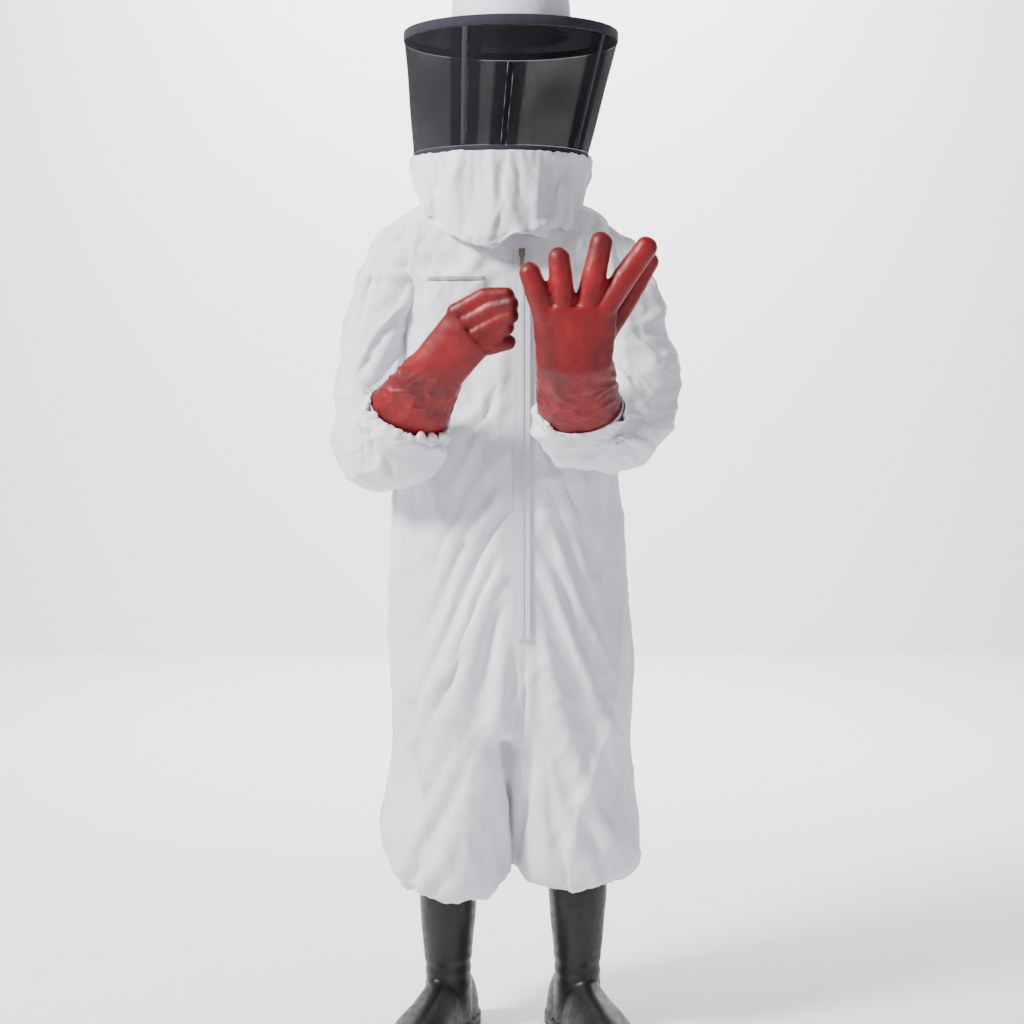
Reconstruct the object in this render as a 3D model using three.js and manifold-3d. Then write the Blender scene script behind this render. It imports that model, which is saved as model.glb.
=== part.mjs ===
// A beekeeper's outfit in its worn pose: zip-up coverall, hat-and-veil hood that tilts back on the
// neck zip, gauntlet gloves and rubber boots. Millimetres, +Z up, the front faces -Y.
import * as THREE from 'three';
import { mergeVertices } from 'three/addons/utils/BufferGeometryUtils.js';
import Module from 'manifold-3d';

const wasm = await Module();
wasm.setup();
const { Manifold } = wasm;

// ---- walls and clearances ----
const CLOTH = 2.4;
const MESH_CLOTH = 1.4;
const SEAM = 0.3;
const RUBBER = 2.2;
const LINING = 1.4;
const CUT = 900;
const TIDY = 0.02;
const ROUNDING = 0.001;

// ---- heights of the standing suit ----
const NECK_Z = 1446;
const WAIST_Z = 1010;
const CROTCH_Z = 535;
const HEM_GATHER = 22;
const CROTCH_X = 5;
const HEM_RIGHT_Z = 262;
const HEM_LEFT_Z = 276;
const VEIL_BOTTOM_Z = 1500;
const BRIM_Z = 1706;

// ---- neck, zips and pocket ----
const NECK_R = 100;
const NECK_TAPE_H = 10;
const NECK_TAPE_WALL = 2.5;
const ZIP_X = 30;
const ZIP_TOP_Z = 1352;
const ZIP_LENGTH = 640;
const ZIP_TAPE_W = 13;
const ZIP_LIFT = 1;
const ZIP_TAPE_T = 1.2;
const TEETH_W = 2.6;
const TEETH_T = 2.6;
const POCKET_X = -78;
const POCKET_TOP_Z = 1302;
const POCKET_W = 96;
const POCKET_H = 118;
const POCKET_LIFT = 1.2;
const POCKET_ZIP_H = 8;

// ---- hat and veil ----
const HAT_X = 12;
const CROWN_R = 99;
const CROWN_H = 112;
const BRIM_R = 176;
const BRIM_T = 3;
const BINDING_H = 16;
const BINDING_T = 3;
const VEIL_BOTTOM_R = 147;
const VEIL_BOTTOM_X = -5;
const SEAM_TAPE_DEG = 3.4;
const SEAM_TAPE_T = 2.6;
const HOOP_H = 10;

// ---- gloves and boots ----
const CUFF_WIDE = 66;
const CUFF_DEEP = 46;
const CUFF_BAND_H = 20;
const CUFF_BAND_T = 3;
const GAUNTLET_INSIDE = 30;
const BOOT_TOP_Z = 385;
const BOOT_WIDE = 50;
const BOOT_DEEP = 54;
const BOOT_WALL = 3;
const SOLE_T = 20;
const FOOT_BACK = 82;
const FOOT_FRONT = 205;
const FOOT_TURN_DEG = 22;
const HEM_BAND_H = 14;
const HEM_BAND_T = 4;

const white = { color: 0xe3e5f0, roughness: 0.9, metalness: 0 };
const elastic = { color: 0xc9c9d6, roughness: 0.9, metalness: 0 };
const netting = { color: 0x26242a, roughness: 0.8, metalness: 0 };
const binding = { color: 0x1b1d2b, roughness: 0.7, metalness: 0 };
const straw = { color: 0xeceef6, roughness: 0.6, metalness: 0 };
const zipTape = { color: 0xd7dad8, roughness: 0.8, metalness: 0 };
const brass = { color: 0x8d8466, roughness: 0.4, metalness: 0.9 };
const redRubber = { color: 0xb02830, roughness: 0.4, metalness: 0 };
const flock = { color: 0xd9c9c4, roughness: 0.95, metalness: 0 };
const blackRubber = { color: 0x1c1c20, roughness: 0.35, metalness: 0 };
const insoleFelt = { color: 0x4a4a50, roughness: 0.95, metalness: 0 };

const suit = new THREE.Group();
const vec = (x, y, z) => new THREE.Vector3(x, y, z);
const radians = THREE.MathUtils.degToRad;

// ---- solids ----
function solidOf(points, faces) {
  let volume = 0;
  for (let i = 0; i < faces.length; i += 3) {
    const [a, b, c] = [points[faces[i]], points[faces[i + 1]], points[faces[i + 2]]];
    volume += a.dot(b.clone().cross(c));
  }
  const triVerts = Uint32Array.from(faces);
  if (volume < 0) triVerts.reverse();
  const vertProperties = Float32Array.from(points.flatMap((p) => [p.x, p.y, p.z]));
  return new Manifold(new wasm.Mesh({ numProp: 3, vertProperties, triVerts }));
}

function solidOfGeometry(geometry) {
  const bare = geometry.clone();
  bare.deleteAttribute('normal');
  bare.deleteAttribute('uv');
  const merged = mergeVertices(bare, 1e-4);
  const vertProperties = Float32Array.from(merged.attributes.position.array);
  const triVerts = Uint32Array.from(merged.index.array);
  return new Manifold(new wasm.Mesh({ numProp: 3, vertProperties, triVerts }));
}

// A closed solid through a stack of rings, with flat ends.
function loft(rings) {
  const count = rings[0].length;
  const points = rings.flat();
  const faces = [];
  for (let row = 0; row < rings.length - 1; row += 1) {
    for (let i = 0; i < count; i += 1) {
      const a = row * count + i;
      const b = row * count + ((i + 1) % count);
      faces.push(a, b, b + count, a, b + count, a + count);
    }
  }
  const middle = (ring) => ring.reduce((sum, p) => sum.add(p), vec(0, 0, 0)).divideScalar(count);
  const last = (rings.length - 1) * count;
  points.push(middle(rings[0]), middle(rings[rings.length - 1]));
  for (let i = 0; i < count; i += 1) {
    const next = (i + 1) % count;
    faces.push(next, i, points.length - 2);
    faces.push(last + i, last + next, points.length - 1);
  }
  return solidOf(points, faces);
}

// A sheet of even thickness under surface(u, v), open at both v ends, closed round u when asked.
function sheet(surface, columns, rows, wall, closed) {
  const across = closed ? columns : columns + 1;
  const step = 0.002;
  const outer = [];
  const inner = [];
  for (let j = 0; j <= rows; j += 1) {
    for (let i = 0; i < across; i += 1) {
      const u = i / columns;
      const v = j / rows;
      const place = surface(u, v);
      const alongU = surface(u + step, v).sub(surface(u - step, v));
      const alongV = surface(u, Math.min(1, v + step)).sub(surface(u, Math.max(0, v - step)));
      const normal = alongU.cross(alongV).normalize();
      outer.push(place);
      inner.push(place.clone().addScaledVector(normal, -wall));
    }
  }
  const points = [...outer, ...inner];
  const under = outer.length;
  const faces = [];
  const quad = (a, b, c, d) => faces.push(a, b, c, a, c, d);
  for (let j = 0; j < rows; j += 1) {
    for (let i = 0; i < columns; i += 1) {
      const a = j * across + i;
      const b = j * across + ((i + 1) % across);
      quad(a, b, b + across, a + across);
      quad(under + b, under + a, under + a + across, under + b + across);
    }
  }
  for (let i = 0; i < columns; i += 1) {
    const a = i;
    const b = (i + 1) % across;
    const end = rows * across;
    quad(b, a, under + a, under + b);
    quad(end + a, end + b, under + end + b, under + end + a);
  }
  if (!closed) {
    for (let j = 0; j < rows; j += 1) {
      const a = j * across;
      const b = a + columns;
      quad(a, a + across, under + a + across, under + a);
      quad(b + across, b, under + b, under + b + across);
    }
  }
  return solidOf(points, faces);
}

// The block on one side of a plane square to an axis, and short of it by half a seam.
function side(axis, place, sign) {
  const size = vec(2 * CUT, 2 * CUT, 4 * CUT);
  const centre = vec(0, 0, CUT);
  centre[axis] = place + sign * (size[axis] / 2 + SEAM / 2);
  return Manifold.cube(size.toArray(), true).translate(centre.toArray());
}

function box(width, depth, height, x, y, z) {
  return Manifold.cube([width, depth, height], true).translate([x, y, z]);
}

function largest(solid, tidy = TIDY) {
  const bodies = solid.decompose();
  bodies.sort((a, b) => b.volume() - a.volume());
  return tidy > 0 ? bodies[0].simplify(tidy) : bodies[0];
}

// Rounds a solid's corners, drops the slivers that fold up, and keeps its one real body.
function settled(solid) {
  const mesh = solid.getMesh();
  const rounded = mesh.vertProperties.map((value) => Math.round(value / ROUNDING) * ROUNDING);
  const geometry = new THREE.BufferGeometry();
  geometry.setAttribute('position', new THREE.BufferAttribute(rounded, 3));
  geometry.setIndex(new THREE.BufferAttribute(mesh.triVerts, 1));
  const merged = mergeVertices(geometry, ROUNDING / 2);
  const corners = Array.from(merged.index.array);
  const triVerts = corners.filter((_, i) => {
    const [a, b, c] = corners.slice(i - (i % 3), i - (i % 3) + 3);
    return a !== b && b !== c && c !== a;
  });
  const vertProperties = Float32Array.from(merged.attributes.position.array);
  const clean = new wasm.Mesh({ numProp: 3, vertProperties, triVerts: Uint32Array.from(triVerts) });
  return largest(new Manifold(clean), 0);
}

function add(name, solid, look) {
  const mesh = settled(solid).getMesh();
  const geometry = new THREE.BufferGeometry();
  geometry.setAttribute('position', new THREE.BufferAttribute(mesh.vertProperties, 3));
  geometry.setIndex(new THREE.BufferAttribute(mesh.triVerts, 1));
  geometry.computeVertexNormals();
  const node = new THREE.Mesh(geometry, new THREE.MeshStandardMaterial(look));
  node.name = name;
  suit.add(node);
  return node;
}

// ---- interpolated outlines ----
// Reads named values between hand-set stops that rise or fall along one key.
function between(stops, key, place) {
  const ordered = [...stops].sort((a, b) => a[key] - b[key]);
  const names = Object.keys(ordered[0]);
  const samples = ordered.flatMap((stop) => names.map((name) => stop[name]));
  const keys = ordered.map((stop) => stop[key]);
  const values = new THREE.CubicInterpolant(keys, samples, names.length).evaluate(place);
  return Object.fromEntries(names.map((name, i) => [name, values[i]]));
}

// A level ring with its own half-width on each side; squareness above 2 fills its corners.
function levelRing(section, outset, count, squareness = 2.3) {
  const ring = [];
  for (let i = 0; i < count; i += 1) {
    const angle = (i / count) * 2 * Math.PI;
    const c = Math.cos(angle);
    const s = Math.sin(angle);
    const wide = (c < 0 ? section.right : section.left) + outset;
    const deep = (s < 0 ? section.front : section.back) + outset;
    const x = Math.sign(c) * Math.abs(c) ** (2 / squareness) * wide;
    const y = Math.sign(s) * Math.abs(s) ** (2 / squareness) * deep;
    ring.push(vec((section.x ?? 0) + x, (section.y ?? 0) + y, section.z));
  }
  return ring;
}

// Rings square to a curve through hand-set stops, each stop with its half-width and half-depth.
function limb(stops, outset, rows, count) {
  const curve = new THREE.CatmullRomCurve3(stops.map((stop) => vec(...stop.at)), false, 'centripetal');
  const rings = [];
  for (let row = 0; row <= rows; row += 1) {
    const t = row / rows;
    const part = Math.min(t * (stops.length - 1), stops.length - 1.000001);
    const low = Math.floor(part);
    const blend = part - low;
    const wide = THREE.MathUtils.lerp(stops[low].wide, stops[low + 1].wide, blend) + outset;
    const deep = THREE.MathUtils.lerp(stops[low].deep, stops[low + 1].deep, blend) + outset;
    rings.push(ovalRing(curve.getPoint(t), curve.getTangent(t), wide, deep, count));
  }
  return rings;
}

function ovalRing(centre, along, wide, deep, count) {
  const across = vec(1, 0, 0).addScaledVector(along, -along.x).normalize();
  const up = along.clone().cross(across);
  const ring = [];
  for (let i = 0; i < count; i += 1) {
    const angle = (i / count) * 2 * Math.PI;
    const point = centre.clone().addScaledVector(across, Math.cos(angle) * wide);
    ring.push(point.addScaledVector(up, Math.sin(angle) * deep));
  }
  return ring;
}

// ---- coverall ----
const torsoStops = [
  { z: 1428, right: 102, left: 102, front: 102, back: 102 },
  { z: 1415, right: 136, left: 134, front: 104, back: 106 },
  { z: 1396, right: 172, left: 168, front: 110, back: 114 },
  { z: 1350, right: 186, left: 180, front: 124, back: 128 },
  { z: 1270, right: 160, left: 160, front: 128, back: 136 },
  { z: 1090, right: 158, left: 168, front: 136, back: 138 },
  { z: 1000, right: 164, left: 186, front: 141, back: 138 },
  { z: 900, right: 186, left: 186, front: 145, back: 142 },
  { z: 800, right: 190, left: 202, front: 150, back: 148 },
  { z: 700, right: 192, left: 218, front: 154, back: 151 },
  { z: 640, right: 192, left: 221, front: 148, back: 149 },
  { z: 535, right: 182, left: 210, front: 116, back: 118 },
];
const torsoLevels = [1428, 1420, 1405, 1380, 1330, 1250, 1160, 1070, 960, 850, 740, 640, 585, 535];

function torso(outset, drop, reach) {
  const rings = torsoLevels.map((z) => {
    const ring = levelRing(between(torsoStops, 'z', z), outset, 24);
    const sink = drop * THREE.MathUtils.smoothstep(z, 1340, 1400);
    return ring.map((p) => vec(p.x, p.y, p.z - sink));
  });
  if (reach) rings.unshift(rings[0].map((p) => vec(p.x, p.y, p.z + reach)));
  const floor = rings[rings.length - 1];
  floor.forEach((p) => p.setZ(p.z - outset));
  return loft(rings);
}

const hemWide = BOOT_WIDE + SEAM + HEM_BAND_T;
const hemDeep = BOOT_DEEP + SEAM + HEM_BAND_T;
const hemRise = HEM_BAND_H + SEAM;
function legStops(centreTop, centre, hem, hemX) {
  const gatherWide = hemWide + HEM_GATHER;
  const gatherDeep = hemDeep + HEM_GATHER;
  return [
    { z: 640, x: centreTop, right: 92, left: 92, front: 118, back: 118 },
    { z: CROTCH_Z, x: centreTop, right: 95, left: 95, front: 116, back: 118 },
    { z: hem + 150, x: centre, right: 104, left: 104, front: 112, back: 112 },
    { z: hem + 78, x: centre, right: 106, left: 106, front: 112, back: 110 },
    { z: hem + 44, x: centre, right: 96, left: 96, front: 100, back: 98 },
    { z: hem + 28, x: hemX, right: gatherWide, left: gatherWide, front: gatherDeep, back: gatherDeep },
    { z: hem + hemRise, x: hemX, right: hemWide, left: hemWide, front: hemDeep, back: hemDeep },
  ];
}
const ankleRight = { x: -97, y: 5, hem: HEM_RIGHT_Z };
const ankleLeft = { x: 127, y: 5, hem: HEM_LEFT_Z };
const rightLegStops = legStops(-92, -103, HEM_RIGHT_Z, ankleRight.x);
const leftLegStops = legStops(107, 129, HEM_LEFT_Z, ankleLeft.x);

function leg(stops, hem, outset, reach) {
  const levels = [640, CROTCH_Z, 470, hem + 130, hem + 78, hem + 50, hem + 36, hem + 24, hem + hemRise];
  const rings = levels.map((z) => {
    const section = between(stops, 'z', z);
    section.y = ankleRight.y * THREE.MathUtils.smoothstep(CROTCH_Z - z, 0, CROTCH_Z - hem);
    return levelRing(section, outset, 16, 2.15);
  });
  if (reach) rings.push(rings[rings.length - 1].map((p) => vec(p.x, p.y, p.z - reach)));
  return loft(rings);
}

function wholeBody(outset, drop, reach) {
  const right = leg(rightLegStops, HEM_RIGHT_Z, outset, reach);
  const left = leg(leftLegStops, HEM_LEFT_Z, outset, reach);
  return torso(outset, drop, reach).add(right).add(left);
}


// ---- arms: the right forearm rises across the chest, the left one holds its hand up ----
const rightCuff = { at: vec(-150, -195, 1084), along: vec(0.44, -0.69, 0.575).normalize() };
const leftCuff = { at: vec(118, -272, 1090), along: vec(-0.16, -0.8, 0.58).normalize() };
const cuffBack = (cuff, distance) => cuff.at.clone().addScaledVector(cuff.along, -distance);
const sleeveEnd = CUFF_BAND_H + SEAM;
const SLEEVE_EASE = 2;
const bandWide = CUFF_WIDE + SEAM + CUFF_BAND_T + SLEEVE_EASE;
const bandDeep = CUFF_DEEP + SEAM + CUFF_BAND_T + SLEEVE_EASE;
const SLEEVE_COLUMNS = 14;
const ELBOW_ROW = 8;
const SLEEVE_ROWS = 16;
const rightArm = {
  cuff: rightCuff,
  stops: [
    { at: [-112, 2, 1338], wide: 62, deep: 76 },
    { at: [-172, 4, 1322], wide: 62, deep: 76 },
    { at: [-206, 10, 1240], wide: 56, deep: 66 },
    { at: [-222, 12, 1140], wide: 58, deep: 66 },
    { at: [-226, -8, 1076], wide: 62, deep: 64 },
    { at: [-220, -58, 1046], wide: 66, deep: 62 },
    { at: [-203, -112, 1040], wide: 70, deep: 60 },
    { at: cuffBack(rightCuff, 62).toArray(), wide: 73, deep: 57 },
    { at: cuffBack(rightCuff, sleeveEnd).toArray(), wide: bandWide, deep: bandDeep },
  ],
};
const leftArm = {
  cuff: leftCuff,
  stops: [
    { at: [112, 0, 1338], wide: 62, deep: 74 },
    { at: [166, -2, 1322], wide: 62, deep: 74 },
    { at: [206, -24, 1250], wide: 57, deep: 66 },
    { at: [224, -60, 1170], wide: 58, deep: 64 },
    { at: [226, -98, 1112], wide: 61, deep: 63 },
    { at: [206, -148, 1072], wide: 64, deep: 62 },
    { at: [168, -190, 1052], wide: 68, deep: 60 },
    { at: cuffBack(leftCuff, 66).toArray(), wide: 74, deep: 57 },
    { at: cuffBack(leftCuff, sleeveEnd).toArray(), wide: bandWide, deep: bandDeep },
  ],
};

const moved = (ring, direction, distance) => ring.map((p) => p.clone().addScaledVector(direction, distance));

function ringNormal(ring) {
  const quarter = Math.floor(ring.length / 4);
  return ring[quarter].clone().sub(ring[0]).cross(ring[2 * quarter].clone().sub(ring[0])).normalize();
}

// The rings of an arm from one row to another, with the end rings pushed along the arm.
function stretchOf(arm, outset, from, to, pushStart, pushEnd) {
  const rings = limb(arm.stops, outset, SLEEVE_ROWS, SLEEVE_COLUMNS).slice(from, to + 1);
  rings[0] = moved(rings[0], ringNormal(rings[0]), pushStart);
  const last = rings.length - 1;
  rings[last] = moved(rings[last], ringNormal(rings[last]), pushEnd);
  return loft(rings);
}

// The part of an arm's solid before or after its elbow plane, short of it by half a seam.
function pastElbow(arm, solid, sign) {
  const ring = limb(arm.stops, 0, SLEEVE_ROWS, SLEEVE_COLUMNS)[ELBOW_ROW];
  const normal = ringNormal(ring).multiplyScalar(sign);
  const centre = ring[0].clone().add(ring[SLEEVE_COLUMNS / 2]).multiplyScalar(0.5);
  return solid.trimByPlane(normal.toArray(), normal.dot(centre) + SEAM / 2);
}

// Where a forearm presses on the body, the body's cloth is dented round it at an even distance.
function pressed(solid, extra) {
  const grown = SEAM + extra;
  const bands = [rightCuff, leftCuff].map((cuff) => loft([
    cuffRing(cuff, CUFF_BAND_H, SEAM + CUFF_BAND_T + grown),
    cuffRing(cuff, -grown, SEAM + CUFF_BAND_T + grown),
  ]));
  const right = stretchOf(rightArm, grown, ELBOW_ROW, SLEEVE_ROWS, -grown, grown);
  const left = stretchOf(leftArm, grown, ELBOW_ROW, SLEEVE_ROWS, -grown, grown);
  return solid.subtract(right).subtract(left).subtract(bands[0]).subtract(bands[1]);
}

const bodyOuter = pressed(wholeBody(0, 0, 0), 0);
const bodyInner = pressed(wholeBody(-CLOTH, CLOTH, 12), CLOTH);
const bodyShell = bodyOuter.subtract(bodyInner);
const bodyGrown = wholeBody(SEAM, -SEAM, 0);

function armhole(arm) {
  return stretchOf(arm, SEAM, 0, ELBOW_ROW, 0, 0);
}

function addSleeve(word, arm) {
  const hollow = stretchOf(arm, -CLOTH, 0, SLEEVE_ROWS, 0, CLOTH);
  const shell = stretchOf(arm, 0, 0, SLEEVE_ROWS, 0, 0).subtract(hollow);
  add(`sleeve_${word}_upper`, largest(pastElbow(arm, shell, -1).subtract(bodyGrown)), white);
  add(`sleeve_${word}_lower`, largest(pastElbow(arm, shell, 1)), white);
  add(`cuff_elastic_${word}`, cuffBand(arm.cuff), elastic);
}

function cuffRing(cuff, back, grow) {
  return ovalRing(cuffBack(cuff, back), cuff.along, CUFF_WIDE + grow, CUFF_DEEP + grow, 20);
}

function cuffBand(cuff) {
  const outside = SEAM + CUFF_BAND_T;
  const outer = loft([cuffRing(cuff, CUFF_BAND_H, outside), cuffRing(cuff, 0, outside)]);
  const inner = loft([cuffRing(cuff, CUFF_BAND_H + 5, SEAM), cuffRing(cuff, -5, SEAM)]);
  return outer.subtract(inner);
}

const openShell = bodyShell.subtract(armhole(rightArm)).subtract(armhole(leftArm));
const front = openShell.intersect(side('y', 0, -1));
const back = openShell.intersect(side('y', 0, 1));
const above = side('z', WAIST_Z, 1);
const below = side('z', WAIST_Z, -1);
add('torso_front_right', largest(front.intersect(above).intersect(side('x', ZIP_X, -1))), white);
add('torso_front_left', largest(front.intersect(above).intersect(side('x', ZIP_X, 1))), white);
add('torso_back', largest(back.intersect(above)), white);
for (const [word, sign] of [['right', -1], ['left', 1]]) {
  const half = side('x', CROTCH_X, sign);
  add(`leg_${word}_front`, largest(front.intersect(below).intersect(half)), white);
  add(`leg_${word}_back`, largest(back.intersect(below).intersect(half)), white);
}
addSleeve('right', rightArm);
addSleeve('left', leftArm);

// ---- collar and neck zip ----
function ringBand(inner, wall, height, bottom, x = 0) {
  const profile = [[inner, 0], [inner + wall, 0], [inner + wall, height], [inner, height], [inner, 0]];
  const points = profile.map(([r, z]) => new THREE.Vector2(r, z));
  const band = new THREE.LatheGeometry(points, 24).rotateX(Math.PI / 2);
  return solidOfGeometry(band.translate(x, 0, bottom));
}

const tapeInner = NECK_R - NECK_TAPE_WALL;
const collarZ = torsoLevels[0] + SEAM;
const suitTapeZ = NECK_Z - NECK_TAPE_H;
const hoodTapeZ = NECK_Z + SEAM / 2;
add('collar_stand', ringBand(tapeInner, NECK_TAPE_WALL, suitTapeZ - SEAM - collarZ, collarZ), white);
add('neck_zip_tape', ringBand(tapeInner, NECK_TAPE_WALL, NECK_TAPE_H - SEAM / 2, suitTapeZ), zipTape);
add('hood_zip_tape', ringBand(tapeInner, NECK_TAPE_WALL, NECK_TAPE_H, hoodTapeZ), zipTape);
const neckFace = NECK_R + SEAM;
const NECK_SLIDER_T = 5;
const NECK_SLIDER_TURN = 5;
const NECK_TAB_H = 14;
const NECK_TAB_DROP = 9;
const PULL_T = 1.6;
for (const [word, sign] of [['right', -1], ['left', 1]]) {
  const slider = box(11, NECK_SLIDER_T, 10, 0, -(neckFace + NECK_SLIDER_T / 2), NECK_Z - 3);
  const tabY = -(neckFace + NECK_SLIDER_T + PULL_T / 2);
  const tab = box(5, PULL_T, NECK_TAB_H, 0, tabY, NECK_Z - NECK_TAB_DROP);
  add(`neck_zip_slider_${word}`, slider.add(tab).rotate([0, 0, sign * NECK_SLIDER_TURN]), brass);
}

// ---- front zip, in a frame that runs up the straight front line ----
function frontOf(x, z, outset) {
  const section = between(torsoStops, 'z', z);
  const wide = (x < 0 ? section.right : section.left) + outset;
  return -(section.front + outset) * (1 - Math.abs(x / wide) ** 2.3) ** (1 / 2.3);
}
const zipNear = ZIP_X - ZIP_TAPE_W;
const zipTop = vec(ZIP_X, frontOf(zipNear, ZIP_TOP_Z, ZIP_LIFT), ZIP_TOP_Z);
const zipBottomZ = ZIP_TOP_Z - ZIP_LENGTH;
const zipBottom = vec(ZIP_X, frontOf(zipNear, zipBottomZ, ZIP_LIFT), zipBottomZ);
const zipTilt = THREE.MathUtils.radToDeg(Math.atan2(zipTop.y - zipBottom.y, zipTop.z - zipBottom.z));
const onZip = (solid) => solid.rotate([-zipTilt, 0, 0]).translate(zipBottom.toArray());
for (const [word, sign] of [['right', -1], ['left', 1]]) {
  const middle = (SEAM / 2 + ZIP_TAPE_W) / 2;
  const tapeWide = ZIP_TAPE_W - SEAM / 2;
  const tape = box(tapeWide, ZIP_TAPE_T, ZIP_LENGTH, sign * middle, -ZIP_TAPE_T / 2, ZIP_LENGTH / 2);
  const teethX = sign * (SEAM + TEETH_W) / 2;
  const teeth = box(TEETH_W, TEETH_T, ZIP_LENGTH - 8, teethX, -TEETH_T / 2, ZIP_LENGTH / 2);
  add(`front_zip_tape_${word}`, onZip(tape.add(teeth)), zipTape);
}
const sliderFace = -(TEETH_T + SEAM);
const SLIDER_T = 3;
const LUG_W = 2;
const LUG_H = 2.4;
const PULL_L = 28;
const PRONG_OVER = 1.6;
const sliderZ = ZIP_LENGTH - 12;
const pullY = sliderFace - SLIDER_T - LUG_H;
const lugZ = sliderZ + 2;
const lugDeep = LUG_H + 1.2;
const lug = box(LUG_W, lugDeep, LUG_H, 0, sliderFace - SLIDER_T - lugDeep / 2, lugZ);
add('front_zip_slider', onZip(box(10, SLIDER_T, 13, 0, sliderFace - SLIDER_T / 2, sliderZ).add(lug)), brass);
const fork = box(LUG_W + 2 * SEAM, 2 * PULL_T, 10, 0, pullY, lugZ + 5 - LUG_H);
const pull = box(7, PULL_T, PULL_L, 0, pullY, lugZ + PRONG_OVER - PULL_L / 2);
add('front_zip_pull', onZip(pull.subtract(fork)), brass);

// ---- chest pocket ----
function pocketPoint(u, v, bottom, top, outset) {
  const x = POCKET_X + (u - 0.5) * POCKET_W;
  const z = bottom + v * (top - bottom);
  return vec(x, frontOf(x, z, outset), z);
}
const pocketZipZ = POCKET_TOP_Z - POCKET_ZIP_H;
const pocketBottom = pocketZipZ - SEAM - POCKET_H;
const pocketLift = SEAM + CLOTH + POCKET_LIFT;
const pocketPatch = (u, v) => pocketPoint(u, v, pocketBottom, pocketZipZ - SEAM, pocketLift);
const pocketTape = (u, v) => pocketPoint(u, v, pocketZipZ, POCKET_TOP_Z, pocketLift);
add('chest_pocket', largest(sheet(pocketPatch, 6, 4, CLOTH, false).subtract(bodyGrown)), white);
const pocketZip = sheet(pocketTape, 6, 1, CLOTH, false).subtract(bodyGrown);
add('chest_pocket_zip', largest(pocketZip), zipTape);

// ---- hat ----
const CROWN_T = 2.5;
const brimTop = BRIM_Z + BRIM_T;
const bandR = CROWN_R - CROWN_T - SEAM;
function crownProfile(inset) {
  const r = CROWN_R - inset;
  const h = CROWN_H - inset;
  return [[r, 0], [r, h * 0.32], [r - 9, h * 0.66], [r - 30, h * 0.9], [r - 60, h * 0.985], [0, h]];
}
const crownOutline = [...crownProfile(0), ...crownProfile(CROWN_T).reverse(), [CROWN_R, 0]];
const crown = new THREE.LatheGeometry(crownOutline.map(([r, z]) => new THREE.Vector2(r, z)), 24);
crown.rotateX(Math.PI / 2).translate(HAT_X, 0, brimTop + SEAM);
add('hat_crown', solidOfGeometry(crown), straw);
add('hat_brim', ringBand(bandR + SEAM, BRIM_R - bandR - SEAM, BRIM_T, BRIM_Z, HAT_X), straw);
add('hat_sweatband', ringBand(bandR - 1.5, 1.5, 30, BRIM_Z - 4, HAT_X), white);
const topPanelR = CROWN_R + SEAM;
add('veil_top_panel', ringBand(topPanelR, BRIM_R - topPanelR, MESH_CLOTH, brimTop + SEAM, HAT_X), netting);
const bindingTop = brimTop + SEAM + MESH_CLOTH;
const bindingBottom = bindingTop - BINDING_H;
add('brim_binding', ringBand(BRIM_R + SEAM, BINDING_T, BINDING_H, bindingBottom, HAT_X), binding);

// ---- veil: three net panels on a leaning cone, joined by tapes, down to a hoop ----
const veilTopR = BRIM_R + SEAM + BINDING_T;
const hoopTop = VEIL_BOTTOM_Z + HOOP_H;
function veilPoint(angle, v, outset) {
  const z = THREE.MathUtils.lerp(hoopTop + SEAM, bindingBottom - SEAM, v);
  const r = THREE.MathUtils.lerp(VEIL_BOTTOM_R, veilTopR, v) + outset;
  const x = THREE.MathUtils.lerp(VEIL_BOTTOM_X, HAT_X, v);
  return vec(x + r * Math.cos(angle), r * Math.sin(angle), z);
}
function veilSheet(fromDeg, toDeg, outset, wall, columns) {
  const surface = (u, v) => veilPoint(radians(fromDeg + u * (toDeg - fromDeg)), v, outset);
  return sheet(surface, columns, 3, wall, false).trimByPlane([0, 0, -1], SEAM - bindingBottom);
}
const seamAngles = { front_right: -114, front_left: -33, rear: 90 };
const half = SEAM_TAPE_DEG / 2;
const clear = THREE.MathUtils.radToDeg(SEAM / VEIL_BOTTOM_R);
const panels = [
  ['veil_front', seamAngles.front_right, seamAngles.front_left, 6],
  ['veil_left', seamAngles.front_left, seamAngles.rear, 9],
  ['veil_right', seamAngles.rear, seamAngles.front_right + 360, 11],
];
for (const [name, from, to, columns] of panels) {
  add(name, veilSheet(from + half + clear, to - half - clear, 0, MESH_CLOTH, columns), netting);
}
for (const [word, angle] of Object.entries(seamAngles)) {
  add(`veil_seam_${word}`, veilSheet(angle - half, angle + half, 0.6, SEAM_TAPE_T, 1), binding);
}
const hoop = ringBand(VEIL_BOTTOM_R - 3, 3, HOOP_H, VEIL_BOTTOM_Z, VEIL_BOTTOM_X);
add('veil_bottom_hoop', hoop, binding);

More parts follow.
